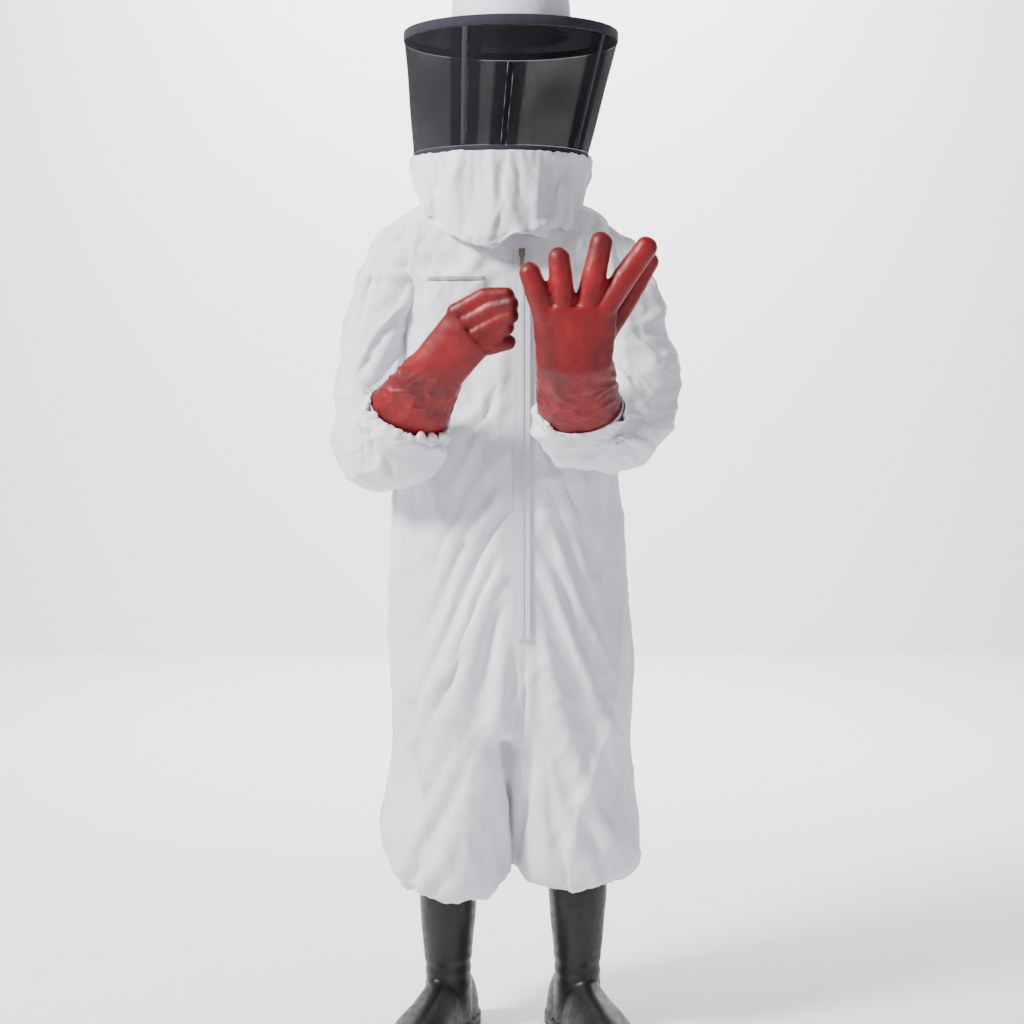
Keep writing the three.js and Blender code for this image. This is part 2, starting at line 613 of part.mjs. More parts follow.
// ---- hood skirt: straight up at the back, folded under and hanging over the chest in front ----
const skirtFoot = hoodTapeZ + NECK_TAPE_H + SEAM;
const skirtTop = VEIL_BOTTOM_Z - SEAM;
const frontProfile = [
  [NECK_R, skirtFoot], [122, 1457], [142, 1428], [154, 1388], [165, 1364],
  [175, 1378], [176, 1412], [166, 1456], [153, 1486], [VEIL_BOTTOM_R, skirtTop],
];
const skirtProfile = (front) => frontProfile.map(([r, z], i) => {
  const t = i / (frontProfile.length - 1);
  const rearR = THREE.MathUtils.lerp(NECK_R, VEIL_BOTTOM_R, t);
  const rearZ = THREE.MathUtils.lerp(skirtFoot, skirtTop, t);
  const radius = THREE.MathUtils.lerp(rearR, r, front);
  return vec(radius, THREE.MathUtils.lerp(rearZ, z, front), VEIL_BOTTOM_X * t);
});
function skirtPoint(u, v) {
  const angle = u * 2 * Math.PI;
  const front = ((1 - Math.sin(angle)) / 2) ** 2.6;
  const place = new THREE.CatmullRomCurve3(skirtProfile(front), false, 'centripetal').getPoint(v);
  return vec(place.z + place.x * Math.cos(angle), place.x * Math.sin(angle), place.y);
}
const skirt = sheet(skirtPoint, 22, 12, CLOTH, true);
add('hood_skirt', skirt.trimByPlane([0, 0, -1], -skirtTop), white);

// ---- gloves: gauntlet, palm and tapered fingers, hollow throughout ----
function ball(at, r) {
  return Manifold.sphere(r, 8).translate(at);
}

// A finger through its joints, each with its own radius.
function finger(joints, outset) {
  const balls = joints.map(([x, y, z, r]) => ball([x, y, z], r + outset));
  const spans = balls.slice(1).map((next, i) => Manifold.hull([balls[i], next]));
  return Manifold.union(spans);
}

function handRing(ring, outset) {
  const wideWay = vec(...ring.wideWay).normalize();
  const deepWay = vec(...ring.deepWay).normalize();
  return Array.from({ length: 20 }, (_, i) => {
    const angle = (i / 20) * 2 * Math.PI;
    const place = vec(...ring.at).addScaledVector(wideWay, Math.cos(angle) * (ring.wide + outset));
    return place.addScaledVector(deepWay, Math.sin(angle) * (ring.deep + outset));
  });
}

const asPoints = (rings) => rings.flat().map((p) => p.toArray());

function glove(cuff, hand, outset, reach) {
  const start = [cuffRing(cuff, GAUNTLET_INSIDE + reach, outset), cuffRing(cuff, 0, outset)];
  const tube = Manifold.hull(asPoints([start[0], cuffRing(cuff, -1, outset)]));
  const wrist = handRing(hand.wrist, outset);
  const gauntlet = Manifold.hull(asPoints([start[1], wrist]));
  const palm = Manifold.hull(asPoints([wrist, handRing(hand.knuckles, outset)]));
  const fingers = hand.fingers.map((joints) => finger(joints, outset));
  return largest(Manifold.union([tube, gauntlet, palm, ...fingers]));
}

const rightHand = {
  wrist: {
    at: [-98, -266, 1156], wide: 44, deep: 30, wideWay: [-0.75, -0.1, 0.65], deepWay: [0.35, 0.8, 0.48],
  },
  knuckles: {
    at: [-50, -300, 1212], wide: 46, deep: 20, wideWay: [-0.6, 0, 0.8], deepWay: [0.3, 0.92, 0.22],
  },
  fingers: [
    [[-72, -300, 1238, 15], [-28, -310, 1262, 14], [5, -318, 1263, 13]],
    [[-58, -302, 1222, 15], [-14, -314, 1244, 14], [12, -322, 1249, 13]],
    [[-46, -302, 1202, 15], [-8, -312, 1224, 14], [12, -320, 1232, 13]],
    [[-40, -298, 1184, 14], [-12, -304, 1202, 13], [6, -312, 1214, 12]],
    [[-62, -288, 1180, 16], [-18, -286, 1186, 14], [8, -286, 1192, 12.5]],
  ],
};
const leftHand = {
  wrist: { at: [107, -372, 1165], wide: 58, deep: 32, wideWay: [1, 0, 0], deepWay: [0, 0.7, 0.7] },
  knuckles: { at: [107, -396, 1244], wide: 64, deep: 21, wideWay: [1, 0, 0], deepWay: [0, 1, 0.2] },
  fingers: [
    [[61, -394, 1236, 19], [50, -402, 1266, 18.5], [40, -404, 1292, 17]],
    [[90, -396, 1244, 19], [86, -406, 1280, 19], [83, -408, 1313, 17.5]],
    [[124, -396, 1244, 19], [135, -406, 1290, 19], [145, -408, 1336, 17.5]],
    [[150, -394, 1240, 19], [180, -402, 1286, 19], [211, -404, 1329, 17.5]],
    [[146, -372, 1196, 20], [190, -346, 1262, 18], [219, -336, 1312, 17]],
  ],
};

function addGlove(word, cuff, hand) {
  const whole = glove(cuff, hand, 0, 0);
  add(`glove_${word}_shell`, largest(whole.subtract(glove(cuff, hand, -RUBBER, 5))), redRubber);
  const liningOut = -RUBBER - SEAM;
  const liningIn = liningOut - LINING;
  const liner = (outset, reach) => Manifold.hull(asPoints([
    cuffRing(cuff, GAUNTLET_INSIDE + reach, outset), cuffRing(cuff, 0, outset),
  ])).add(Manifold.hull(asPoints([cuffRing(cuff, 0, outset), handRing(hand.wrist, outset)])));
  const hole = liner(liningIn, 5);
  const wayOn = Manifold.hull(asPoints([handRing(hand.wrist, liningIn), handRing(hand.knuckles, liningIn)]));
  add(`glove_${word}_lining`, largest(liner(liningOut, 0).subtract(hole).subtract(wayOn)), flock);
}
addGlove('right', rightCuff, rightHand);
addGlove('left', leftCuff, leftHand);

// ---- boots: the shaft is prismatic from the hem up, so it slides out of the hem elastic ----
const footWidths = [
  { s: -FOOT_BACK, half: 12, top: 70 }, { s: -FOOT_BACK + 12, half: 28, top: 86 },
  { s: -40, half: 37, top: 108 }, { s: 20, half: 38, top: 112 }, { s: 80, half: 42, top: 92 },
  { s: 140, half: 47, top: 76 }, { s: 180, half: 38, top: 66 },
  { s: FOOT_FRONT - 6, half: 22, top: 54 }, { s: FOOT_FRONT, half: 10, top: 46 },
];

function footOutline(grow) {
  const right = footWidths.map(({ s, half: w }) => [s, w + grow]);
  right[0][0] -= grow;
  right[right.length - 1][0] += grow;
  const left = [...right].reverse().map(([s, w]) => [s, -w]);
  return [...right, ...left].reverse();
}

function bootShaft(ankle, outset, bottom, top) {
  const levels = [
    { z: bottom, wide: 40, deep: 48 }, { z: 112, wide: 38, deep: 46 }, { z: 150, wide: 41, deep: 48 },
    { z: ankle.hem - 24, wide: BOOT_WIDE, deep: BOOT_DEEP }, { z: top, wide: BOOT_WIDE, deep: BOOT_DEEP },
  ];
  return loft(levels.map(({ z, wide, deep }) => {
    const section = { z, x: 0, y: 0, right: wide, left: wide, front: deep, back: deep };
    return levelRing(section, outset, 20, 2);
  }));
}

function foot(outset) {
  const rings = footWidths.map(({ s, half: w, top }) => {
    const place = THREE.MathUtils.clamp(s, -FOOT_BACK - outset, FOOT_FRONT + outset);
    return Array.from({ length: 16 }, (_, i) => {
      const angle = (i / 16) * 2 * Math.PI;
      return vec(Math.cos(angle) * (w + outset), -place, Math.sin(angle) * (top + outset));
    });
  });
  return loft(rings);
}

// The boot is made about its ankle, heel to the back, then turned out and set under the hem.
function placeBoot(solid, ankle, sign) {
  return solid.rotate([0, 0, sign * FOOT_TURN_DEG]).translate([ankle.x, ankle.y, 0]);
}

function addBoot(word, ankle, sign) {
  const upperFloor = SOLE_T + SEAM;
  const body = (outset, bottom, top) => foot(outset).add(bootShaft(ankle, outset, bottom, top))
    .trimByPlane([0, 0, 1], bottom);
  const outer = body(0, upperFloor, BOOT_TOP_Z);
  const inner = body(-BOOT_WALL, upperFloor + BOOT_WALL, BOOT_TOP_Z + 5);
  const wholeBoot = placeBoot(outer.subtract(inner), ankle, sign);
  add(`boot_${word}_upper`, largest(wholeBoot), blackRubber);
  const slab = (grow, thick) => Manifold.extrude([footOutline(grow)], thick).rotate([0, 0, -90]);
  const arch = box(140, 62, 16, 0, -8, 0);
  add(`boot_${word}_sole`, placeBoot(slab(3, SOLE_T).subtract(arch), ankle, sign), blackRubber);
  const insoleLift = upperFloor + BOOT_WALL + SEAM;
  const insole = slab(-6, 4).translate([0, 0, insoleLift]).intersect(foot(-BOOT_WALL - 2));
  add(`boot_${word}_insole`, placeBoot(insole, ankle, sign), insoleFelt);
  const band = (grow, drop) => loft([ankle.hem + HEM_BAND_H + drop, ankle.hem - drop].map((z) => {
    const section = { z, right: BOOT_WIDE, left: BOOT_WIDE, front: BOOT_DEEP, back: BOOT_DEEP };
    return levelRing(section, grow, 20, 2);
  }));
  const elasticBand = band(SEAM + HEM_BAND_T, 0).subtract(band(SEAM, 4));
  add(`hem_elastic_${word}`, placeBoot(elasticBand, ankle, sign), elastic);
}
addBoot('right', ankleRight, -1);
addBoot('left', ankleLeft, 1);

// ---- the whole outfit stands with the middle of its footprint at the origin ----
const whole = new THREE.Box3().setFromObject(suit);
const middle = whole.getCenter(vec(0, 0, 0));
suit.position.set(-middle.x, -middle.y, -whole.min.z);

export default suit;
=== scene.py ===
# The beekeeper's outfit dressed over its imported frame: simulated cotton, net veil, rubber gloves and boots.
import math
from contextlib import contextmanager

import bmesh
import bpy
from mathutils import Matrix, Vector, noise
from mathutils.bvhtree import BVHTree


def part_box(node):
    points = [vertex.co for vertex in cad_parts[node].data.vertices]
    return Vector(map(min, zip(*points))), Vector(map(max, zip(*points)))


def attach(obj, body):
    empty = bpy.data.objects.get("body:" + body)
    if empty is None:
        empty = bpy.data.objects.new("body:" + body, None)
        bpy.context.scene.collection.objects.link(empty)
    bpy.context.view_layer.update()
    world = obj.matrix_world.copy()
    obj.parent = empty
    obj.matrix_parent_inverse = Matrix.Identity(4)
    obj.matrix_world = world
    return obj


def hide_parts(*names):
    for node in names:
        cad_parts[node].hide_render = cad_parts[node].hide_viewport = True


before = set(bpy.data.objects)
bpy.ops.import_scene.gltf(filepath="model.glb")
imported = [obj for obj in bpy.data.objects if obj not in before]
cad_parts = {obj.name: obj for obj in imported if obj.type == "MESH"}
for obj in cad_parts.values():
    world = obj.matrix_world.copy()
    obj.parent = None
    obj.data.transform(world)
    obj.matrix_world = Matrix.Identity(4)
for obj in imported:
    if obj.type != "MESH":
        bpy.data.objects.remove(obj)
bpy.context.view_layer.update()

MM = 0.001


def box_middle(node):
    low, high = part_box(node)
    return (Vector(low) + Vector(high)) / 2


NECK = box_middle("neck_zip_tape")


def place(x, y, z):
    """A point given in millimetres from the neck's vertical axis and the floor."""
    return Vector((NECK.x + x * MM, NECK.y + y * MM, z * MM))


# ---------------------------------------------------------------- shader sums
class Socket:
    """One output of a material's node tree, with sums written as operators."""

    def __init__(self, tree, output=None):
        self.tree = tree
        self.output = output

    def node(self, kind, inputs=None, output=0, **settings):
        made = self.tree.nodes.new(kind)
        for name, value in settings.items():
            setattr(made, name, value)
        for name, value in (inputs or {}).items():
            if isinstance(value, Socket):
                self.tree.links.new(value.output, made.inputs[name])
            else:
                made.inputs[name].default_value = value
        return Socket(self.tree, made.outputs[output])

    def math(self, operation, other=0.0, third=0.0):
        return self.node("ShaderNodeMath", {0: self, 1: other, 2: third}, operation=operation)

    def __add__(self, other):
        return self.math("ADD", other)

    def __sub__(self, other):
        return self.math("SUBTRACT", other)

    def __mul__(self, other):
        return self.math("MULTIPLY", other)

    def __abs__(self):
        return self.math("ABSOLUTE")

    def __rsub__(self, other):
        return self.node("ShaderNodeMath", {0: other, 1: self}, operation="SUBTRACT")

    __radd__ = __add__
    __rmul__ = __mul__

    def sine(self):
        return self.math("SINE")

    def ramp(self, low, high, to_low=0.0, to_high=1.0):
        inputs = {"Value": self, "From Min": low, "From Max": high, "To Min": to_low, "To Max": to_high}
        return self.node("ShaderNodeMapRange", inputs)

    def mix(self, first, second):
        inputs = {"Factor": self, 6: first, 7: second}
        return self.node("ShaderNodeMix", inputs, 2, data_type="RGBA")

    def noise(self, scale, detail=3.0, stretch=None):
        where = self
        if stretch:
            where = self.node("ShaderNodeMapping", {"Vector": self, "Scale": stretch})
        return self.node("ShaderNodeTexNoise", {"Vector": where, "Scale": scale, "Detail": detail})

    def axes(self):
        split = self.tree.nodes.new("ShaderNodeSeparateXYZ")
        self.tree.links.new(self.output, split.inputs[0])
        return [Socket(self.tree, out) for out in split.outputs]


def new_material(name, roughness=0.8, metallic=0.0, **constants):
    """A material with its tree, its shader node and the object coordinates to draw on."""
    material = bpy.data.materials.new(name)
    material.use_nodes = True
    tree = material.node_tree
    shader = tree.nodes["Principled BSDF"]
    shader.inputs["Roughness"].default_value = roughness
    shader.inputs["Metallic"].default_value = metallic
    for key, value in constants.items():
        shader.inputs[key.replace("_", " ")].default_value = value
    where = Socket(tree).node("ShaderNodeTexCoord", output="Object")
    return material, shader, where


def link(source, shader, name):
    source.tree.links.new(source.output, shader.inputs[name])


def bump(shader, height, distance, strength=1.0):
    inputs = {"Height": height, "Distance": distance, "Strength": strength}
    link(height.node("ShaderNodeBump", inputs), shader, "Normal")


def colour(r, g, b):
    return (r, g, b, 1.0)


def seam_thread(distance, up):
    """Two dashed rows of topstitching, 3 and 9 mm from a seam."""
    dashes = (up * (2 * math.pi / (3.4 * MM))).sine().ramp(-0.4, 0.0)
    near = abs(distance - 3 * MM).ramp(0.4 * MM, 0.9 * MM, 1.0, 0.0)
    far = abs(distance - 9 * MM).ramp(0.4 * MM, 0.9 * MM, 1.0, 0.0)
    return (near + far) * dashes * 0.6


def cotton_material(name, light, dark, pitch=0.9, seams=False):
    """Plain-woven cotton: fine crossed threads, slubs and a faint blue-mauve mottling."""
    material, shader, where = new_material(name, roughness=0.92, Sheen_Weight=0.25, Sheen_Roughness=0.5)
    x, y, z = where.axes()
    rate = 2 * math.pi / (pitch * MM)
    warp = ((x + y) * rate).sine()
    weft = (z * rate).sine()
    slub = where.noise(420.0, 2.0, (1.0, 1.0, 6.0))
    cloudy = where.noise(5.0, 4.0)
    tone = cloudy.ramp(0.38, 0.66)
    shade = tone.mix(dark, light)
    height = warp * 0.08 + weft * 0.08 + slub * 0.5 + where.noise(34.0, 5.0) * 5.0
    if seams:
        across, deep, up = where.node(
            "ShaderNodeAttribute", output="Vector", attribute_name="rest").axes()
        thread = seam_thread(abs(deep), up) + seam_thread(abs(across), up) * deep.ramp(0.05, 0.06)
        shade = thread.mix(shade, colour(0.42, 0.43, 0.48))
        height = height - thread * 3.0 - abs(deep).ramp(0.0, 0.0016, 6.0, 0.0)
    link(shade, shader, "Base Color")
    bump(shader, height, 0.0006, 0.55)
    return material


def net_material(name, openness, thread):
    """Knitted net: fine crossed threads on the UV map, with the holes between them clear."""
    material, shader, where = new_material(name, roughness=0.95, Specular_IOR_Level=0.08)
    uv = where.node("ShaderNodeTexCoord", output="UV")
    u, v, _ = uv.axes()
    rate = 2 * math.pi / (1.6 * MM)
    across = abs(((u + v) * rate).sine())
    along = abs(((u - v) * rate).sine())
    weave = across.math("MINIMUM", along)
    solid = weave.ramp(0.25, 0.6, 1.0, openness)
    cloudy = where.noise(7.0, 3.0).ramp(0.35, 0.7, -0.05, 0.05)
    edge = where.node("ShaderNodeAttribute", output="Fac", attribute_name="side")
    # Within about 20 mm of each panel's side the net is made more opaque: partly a doubled hem, partly
    # painted shade for the dark bands where the net overlaps.
    doubled_hem_and_shade = edge.ramp(0.018, 0.024, 0.16, 0.0)
    link((solid + cloudy + doubled_hem_and_shade).math("MINIMUM", 1.0), shader, "Alpha")
    link(where.noise(9.0, 2.0).mix(thread, colour(0.012, 0.011, 0.014)), shader, "Base Color")
    return material


def rubber_material(name, light, dark, roughness, grain, sheen_rough=0.35):
    """Moulded rubber: even colour with scuffs, a soft coat and a slightly rippled skin."""
    material, shader, where = new_material(name, roughness=roughness)
    shader.inputs["Coat Weight"].default_value = 0.14
    shader.inputs["Specular IOR Level"].default_value = 0.32
    shader.inputs["Coat Roughness"].default_value = sheen_rough
    cloudy = where.noise(16.0, 5.0)
    link(cloudy.ramp(0.35, 0.68).mix(dark, light), shader, "Base Color")
    scuff = where.noise(90.0, 6.0)
    link(scuff.ramp(0.3, 0.75, roughness - 0.08, roughness + 0.2), shader, "Roughness")
    bump(shader, where.noise(60.0, 4.0) * grain + where.noise(700.0, 2.0) * 0.15, 0.0012, 0.5)
    return material


def ribbed_material(name, light, dark, pitch):
    """Elastic or tape: fine ribs across its height."""
    material, shader, where = new_material(name, roughness=0.85)
    x, y, z = where.axes()
    ribs = (z * (2 * math.pi / (pitch * MM))).sine()
    cross = ((x - y) * (2 * math.pi / (1.1 * MM))).sine()
    link(where.noise(60.0, 3.0).mix(dark, light), shader, "Base Color")
    bump(shader, ribs + cross * 0.4, 0.0004, 0.6)
    return material


def metal_material(name, tone):
    material, shader, where = new_material(name, roughness=0.38, metallic=1.0)
    worn = where.noise(300.0, 4.0)
    link(worn.mix(tone, colour(tone[0] * 0.45, tone[1] * 0.45, tone[2] * 0.42)), shader, "Base Color")
    link(worn.ramp(0.3, 0.7, 0.28, 0.55), shader, "Roughness")
    return material


COTTON = cotton_material("cotton_white", colour(0.80, 0.815, 0.86), colour(0.70, 0.705, 0.76), seams=True)
# A darker copy of the white cotton: painted shade, for the pocket in the hands' shadow, the collar under the
# hood skirt and the sweatband inside the hat.
COTTON_SHADED = cotton_material("cotton_white_painted_shade", colour(0.72, 0.73, 0.80), colour(0.62, 0.62, 0.70))
HAT_CLOTH = cotton_material("hat_white", colour(0.84, 0.86, 0.93), colour(0.74, 0.77, 0.87), 1.8)
NET = net_material("net_black", 0.80, colour(0.005, 0.0045, 0.006))
BINDING = ribbed_material("binding_navy", colour(0.018, 0.019, 0.035), colour(0.010, 0.010, 0.018), 2.4)
ELASTIC = ribbed_material("elastic_white", colour(0.74, 0.75, 0.83), colour(0.58, 0.58, 0.66), 2.6)
TAPE = ribbed_material("zip_tape", colour(0.79, 0.81, 0.87), colour(0.70, 0.72, 0.79), 1.0)
RED = rubber_material("rubber_red", colour(0.25, 0.005, 0.007), colour(0.10, 0.003, 0.004), 0.50, 1.0)
BLACK = rubber_material(
    "rubber_black", colour(0.006, 0.006, 0.0075), colour(0.003, 0.003, 0.004), 0.40, 0.6, 0.25)
POCKET_TAPE = ribbed_material("pocket_zip", colour(0.42, 0.44, 0.46), colour(0.30, 0.32, 0.34), 1.0)
FLOCK = ribbed_material("flock_lining", colour(0.62, 0.50, 0.47), colour(0.52, 0.42, 0.40), 3.0)
FELT = ribbed_material("insole_grey", colour(0.07, 0.07, 0.08), colour(0.05, 0.05, 0.055), 2.0)
METAL = metal_material("zip_metal", colour(0.42, 0.38, 0.27))


# ---------------------------------------------------------------- meshes
def shade_smooth(piece):
    for polygon in piece.data.polygons:
        polygon.use_smooth = True


def new_piece(name, points, faces, material):
    mesh = bpy.data.meshes.new(name)
    mesh.from_pydata([tuple(p) for p in points], [], faces)
    mesh.update()
    piece = bpy.data.objects.new(name, mesh)
    bpy.context.scene.collection.objects.link(piece)
    mesh.materials.append(material)
    shade_smooth(piece)
    return piece


def only(piece):
    bpy.ops.object.select_all(action="DESELECT")
    piece.select_set(True)
    bpy.context.view_layer.objects.active = piece


def modify(piece, kind, **settings):
    """Adds a modifier and applies it at once."""
    modifier = piece.modifiers.new(kind.lower(), kind)
    for name, value in settings.items():
        setattr(modifier, name, value)
    only(piece)
    bpy.ops.object.modifier_apply(modifier=modifier.name)


@contextmanager
def opened(piece):
    """Opens a piece's mesh for editing, and writes it back at the end."""
    work = bmesh.new()
    work.from_mesh(piece.data)
    work.verts.ensure_lookup_table()
    yield work
    work.to_mesh(piece.data)
    work.free()


def grid_faces(columns, rows, closed):
    across = columns if closed else columns + 1
    faces = []
    for row in range(rows):
        for i in range(columns):
            a = row * across + i
            b = row * across + (i + 1) % across
            faces.append((a, b, b + across, a + across))
    return faces


def tube_piece(name, rings, material, caps=False):
    count = len(rings[0])
    points = [p for ring in rings for p in ring]
    faces = grid_faces(count, len(rings) - 1, True)
    if caps:
        faces.append(tuple(reversed(range(count))))
        faces.append(tuple(range(len(points) - count, len(points))))
    return new_piece(name, points, faces, material)


def joined(name, pieces):
    bpy.ops.object.select_all(action="DESELECT")
    for piece in pieces:
        piece.select_set(True)
    bpy.context.view_layer.objects.active = pieces[0]
    bpy.ops.object.join()
    pieces[0].name = name
    return pieces[0]


def outward(piece):
    """Turns all normals outwards on a closed mesh."""
    with opened(piece) as work:
        bmesh.ops.recalc_face_normals(work, faces=work.faces)


def close_section(piece, count):
    """Joins the last ring of a stack to its first, which closes its section."""
    last = len(piece.data.vertices) - count
    with opened(piece) as work:
        for i in range(count):
            j = (i + 1) % count
            work.faces.new((work.verts[last + i], work.verts[last + j], work.verts[j], work.verts[i]))
        bmesh.ops.recalc_face_normals(work, faces=work.faces)
    shade_smooth(piece)


def keep_values(piece, name, values):
    """Stores one number for each point, for a material or a later step to read."""
    attribute = piece.data.attributes.new(name, "FLOAT", "POINT")
    attribute.data.foreach_set("value", values)


def move_points(piece, moves):
    for vertex, move in zip(piece.data.vertices, moves):
        vertex.co += move


def finished(piece, body_name, slot_name, *nodes):
    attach(piece, body_name)
    if nodes:
        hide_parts(*nodes)
    return piece


def curve_through(stops, place_on):
    """Reads evenly blended stops: a Catmull-Rom pass through every named value."""
    last = len(stops) - 1
    part = min(max(place_on, 0.0), 1.0) * last
    low = min(int(part), last - 1)
    t = part - low
    four = [stops[min(max(low + k, 0), last)] for k in (-1, 0, 1, 2)]
    weights = (
        -0.5 * t + t * t - 0.5 * t ** 3, 1 - 2.5 * t * t + 1.5 * t ** 3,
        0.5 * t + 2 * t * t - 1.5 * t ** 3, -0.5 * t * t + 0.5 * t ** 3,
    )
    return [sum(w * stop[k] for w, stop in zip(weights, four)) for k in range(len(stops[0]))]


def oval(centre, across, up, wide, deep, count):
    ring = []
    for i in range(count):
        angle = 2 * math.pi * i / count
        ring.append(centre + across * (math.cos(angle) * wide * MM) + up * (math.sin(angle) * deep * MM))
    return ring


# ---------------------------------------------------------------- the coverall's body
# Each stop is height, half-width to the wearer's right and left, depth to the front and back, middle.
TORSO = [
    (1430, 100, 100, 100, 100, 0), (1415, 134, 133, 104, 106, 0), (1396, 170, 167, 110, 114, 0),
    (1350, 184, 179, 122, 128, 0), (1270, 162, 162, 127, 136, 0), (1090, 158, 166, 135, 138, 0),
    (1000, 166, 184, 140, 138, 0), (900, 186, 186, 144, 142, 0), (800, 189, 200, 149, 148, 0),
    (700, 191, 216, 151, 150, 0), (640, 191, 219, 146, 148, 0), (560, 184, 212, 124, 126, 0),
]
LEG_RIGHT = [
    (660, 94, 94, 122, 122, -92), (535, 96, 96, 116, 118, -93), (440, 103, 103, 112, 113, -101),
    (370, 107, 107, 112, 111, -104), (320, 104, 104, 108, 106, -103), (294, 86, 86, 90, 88, -100),
    (272, 56, 56, 60, 60, -97), (262, 54, 54, 58, 58, -97),
]
LEG_LEFT = [
    (660, 100, 100, 122, 122, 110), (535, 102, 102, 116, 118, 110), (440, 104, 104, 112, 113, 121),
    (384, 107, 107, 112, 111, 129), (334, 104, 104, 108, 106, 129), (308, 86, 86, 90, 88, 128),
    (286, 56, 56, 60, 60, 127), (276, 54, 54, 58, 58, 127),
]
RIGHT_HEM_Z = 262
LEFT_HEM_Z = 276
LEG_SPLIT_X = 5


def level_rings(stops, rows, columns, outset, squareness=2.3):
    rings = []
    for row in range(rows + 1):
        z, right, left, front, back, x = curve_through(stops, row / rows)
        ring = []
        for i in range(columns):
            angle = 2 * math.pi * i / columns
            c, s = math.cos(angle), math.sin(angle)
            wide = (right if c < 0 else left) + outset
            deep = (front if s < 0 else back) + outset
            ring.append(place(
                x + math.copysign(abs(c) ** (2 / squareness), c) * wide,
                math.copysign(abs(s) ** (2 / squareness), s) * deep, z))
        rings.append(ring)
    return rings


# Each stop is a point, the half-width across and the half-depth: shoulder first, cuff last.
ARM_RIGHT = [
    (-128, 3, 1336, 64, 78), (-172, 4, 1322, 63, 77), (-206, 10, 1240, 57, 67), (-222, 12, 1140, 59, 67),
    (-226, -8, 1076, 62, 65), (-220, -58, 1046, 66, 62), (-203, -112, 1040, 69, 59),
    (-177, -152, 1048, 72, 56), (-159, -181, 1072, 69, 49), (-150, -195, 1084, 68, 48),
]
ARM_LEFT = [
    (126, 0, 1336, 64, 76), (166, -2, 1322, 63, 75), (206, -24, 1250, 58, 67), (224, -60, 1170, 59, 65),
    (226, -98, 1112, 61, 63), (206, -148, 1072, 64, 62), (168, -190, 1052, 68, 60),
    (128, -219, 1052, 74, 57), (121, -256, 1078, 69, 49), (118, -272, 1090, 68, 48),
]


def arm_frame(stops, where):
    """The middle of an arm at a share of its length, its direction, and its half-sizes."""
    x, y, z, wide, deep = curve_through(stops, where)
    ahead = Vector(curve_through(stops, min(where + 0.01, 1.0))[:3])
    behind = Vector(curve_through(stops, max(where - 0.01, 0.0))[:3])
    along = (ahead - behind).normalized()
    across = (Vector((1, 0, 0)) - along * along.x).normalized()
    return place(x, y, z), along, across, along.cross(across), wide, deep


def arm_rings(stops, rows, columns, outset):
    rings = []
    for row in range(rows + 1):
        middle, _, across, up, wide, deep = arm_frame(stops, row / rows)
        rings.append(oval(middle, across, up, wide + outset, deep + outset, columns))
    return rings


def keep_rest(piece):
    """Stores where each point lay before the cloth moved, for the seams to be drawn on."""
    rest = piece.data.attributes.new("rest", "FLOAT_VECTOR", "POINT")
    flat = [c for vertex in piece.data.vertices for c in (vertex.co - NECK.xyz)]
    rest.data.foreach_set("vector", flat)


def push_out(piece, amount_at):
    """Moves each point along its own normal by amount_at(its place), in metres."""
    move_points(piece, [vertex.normal * amount_at(vertex.co) for vertex in piece.data.vertices])


def open_ends(piece, keep):
    """Removes the faces whose middle fails keep, such as the caps over a neck or a hem."""
    with opened(piece) as work:
        lost = [face for face in work.faces if not keep(face.calc_center_median())]
        bmesh.ops.delete(work, geom=lost, context="FACES")


def pin(piece, weights):
    """Holds each point of the cloth where it is by its own weight, from 0 to 1."""
    group = piece.vertex_groups.new(name="pin")
    for index, weight in enumerate(weights):
        if weight > 0:
            group.add([index], min(weight, 1.0), "REPLACE")


def as_collider(piece, gap):
    modifier = piece.modifiers.new("collision", "COLLISION")
    modifier.settings.thickness_outer = gap
    modifier.settings.cloth_friction = 12


def add_cloth(piece, extra, frames):
    """Sets a piece up as cloth that has a share more fabric than its shape needs."""
    modifier = piece.modifiers.new("cloth", "CLOTH")
    settings = modifier.settings
    settings.quality = 5
    settings.mass = 0.22
    settings.tension_stiffness = 18
    settings.compression_stiffness = 18
    settings.shear_stiffness = 7
    settings.bending_stiffness = 0.22
    settings.air_damping = 2.5
    settings.shrink_min = -extra
    settings.vertex_group_mass = "pin"
    settings.effector_weights.gravity = 1.0
    modifier.collision_settings.distance_min = 0.003
    modifier.collision_settings.collision_quality = 2
    modifier.point_cache.frame_start = 1
    modifier.point_cache.frame_end = frames


def run_cloth(pieces, colliders, frames):
    scene = bpy.context.scene
    scene.frame_start = 1
    scene.frame_end = frames
    for frame_number in range(1, frames + 1):
        scene.frame_set(frame_number)
    for piece in pieces:
        only(piece)
        bpy.ops.object.modifier_apply(modifier="cloth")
    for collider in colliders:
        bpy.data.objects.remove(collider, do_unlink=True)
    scene.frame_set(1)


def distance_to_arm(point, samples):
    """How far outside an arm's cloth a point lies, in metres, with the way out of it."""
    best = None
    for middle, wide, deep in samples:
        offset = point - middle
        gap = offset.length - (wide + deep) / 2 * MM
        if best is None or gap < best[0]:
            best = (gap, offset.normalized())
    return best


def arm_samples(stops):
    found = []
    for step in range(12, 41):
        middle, _, _, _, wide, deep = arm_frame(stops, step / 40)
        found.append((middle, wide, deep))
    return found


def clear_of_arms(piece, gap):
    for stops in (ARM_RIGHT, ARM_LEFT):
        samples = arm_samples(stops)
        for vertex in piece.data.vertices:
            if not NECK.z - 0.6 < vertex.co.z < NECK.z - 0.14:
                continue
            away, way_out = distance_to_arm(vertex.co, samples)
            if away < gap:
                vertex.co += way_out * (gap - away)


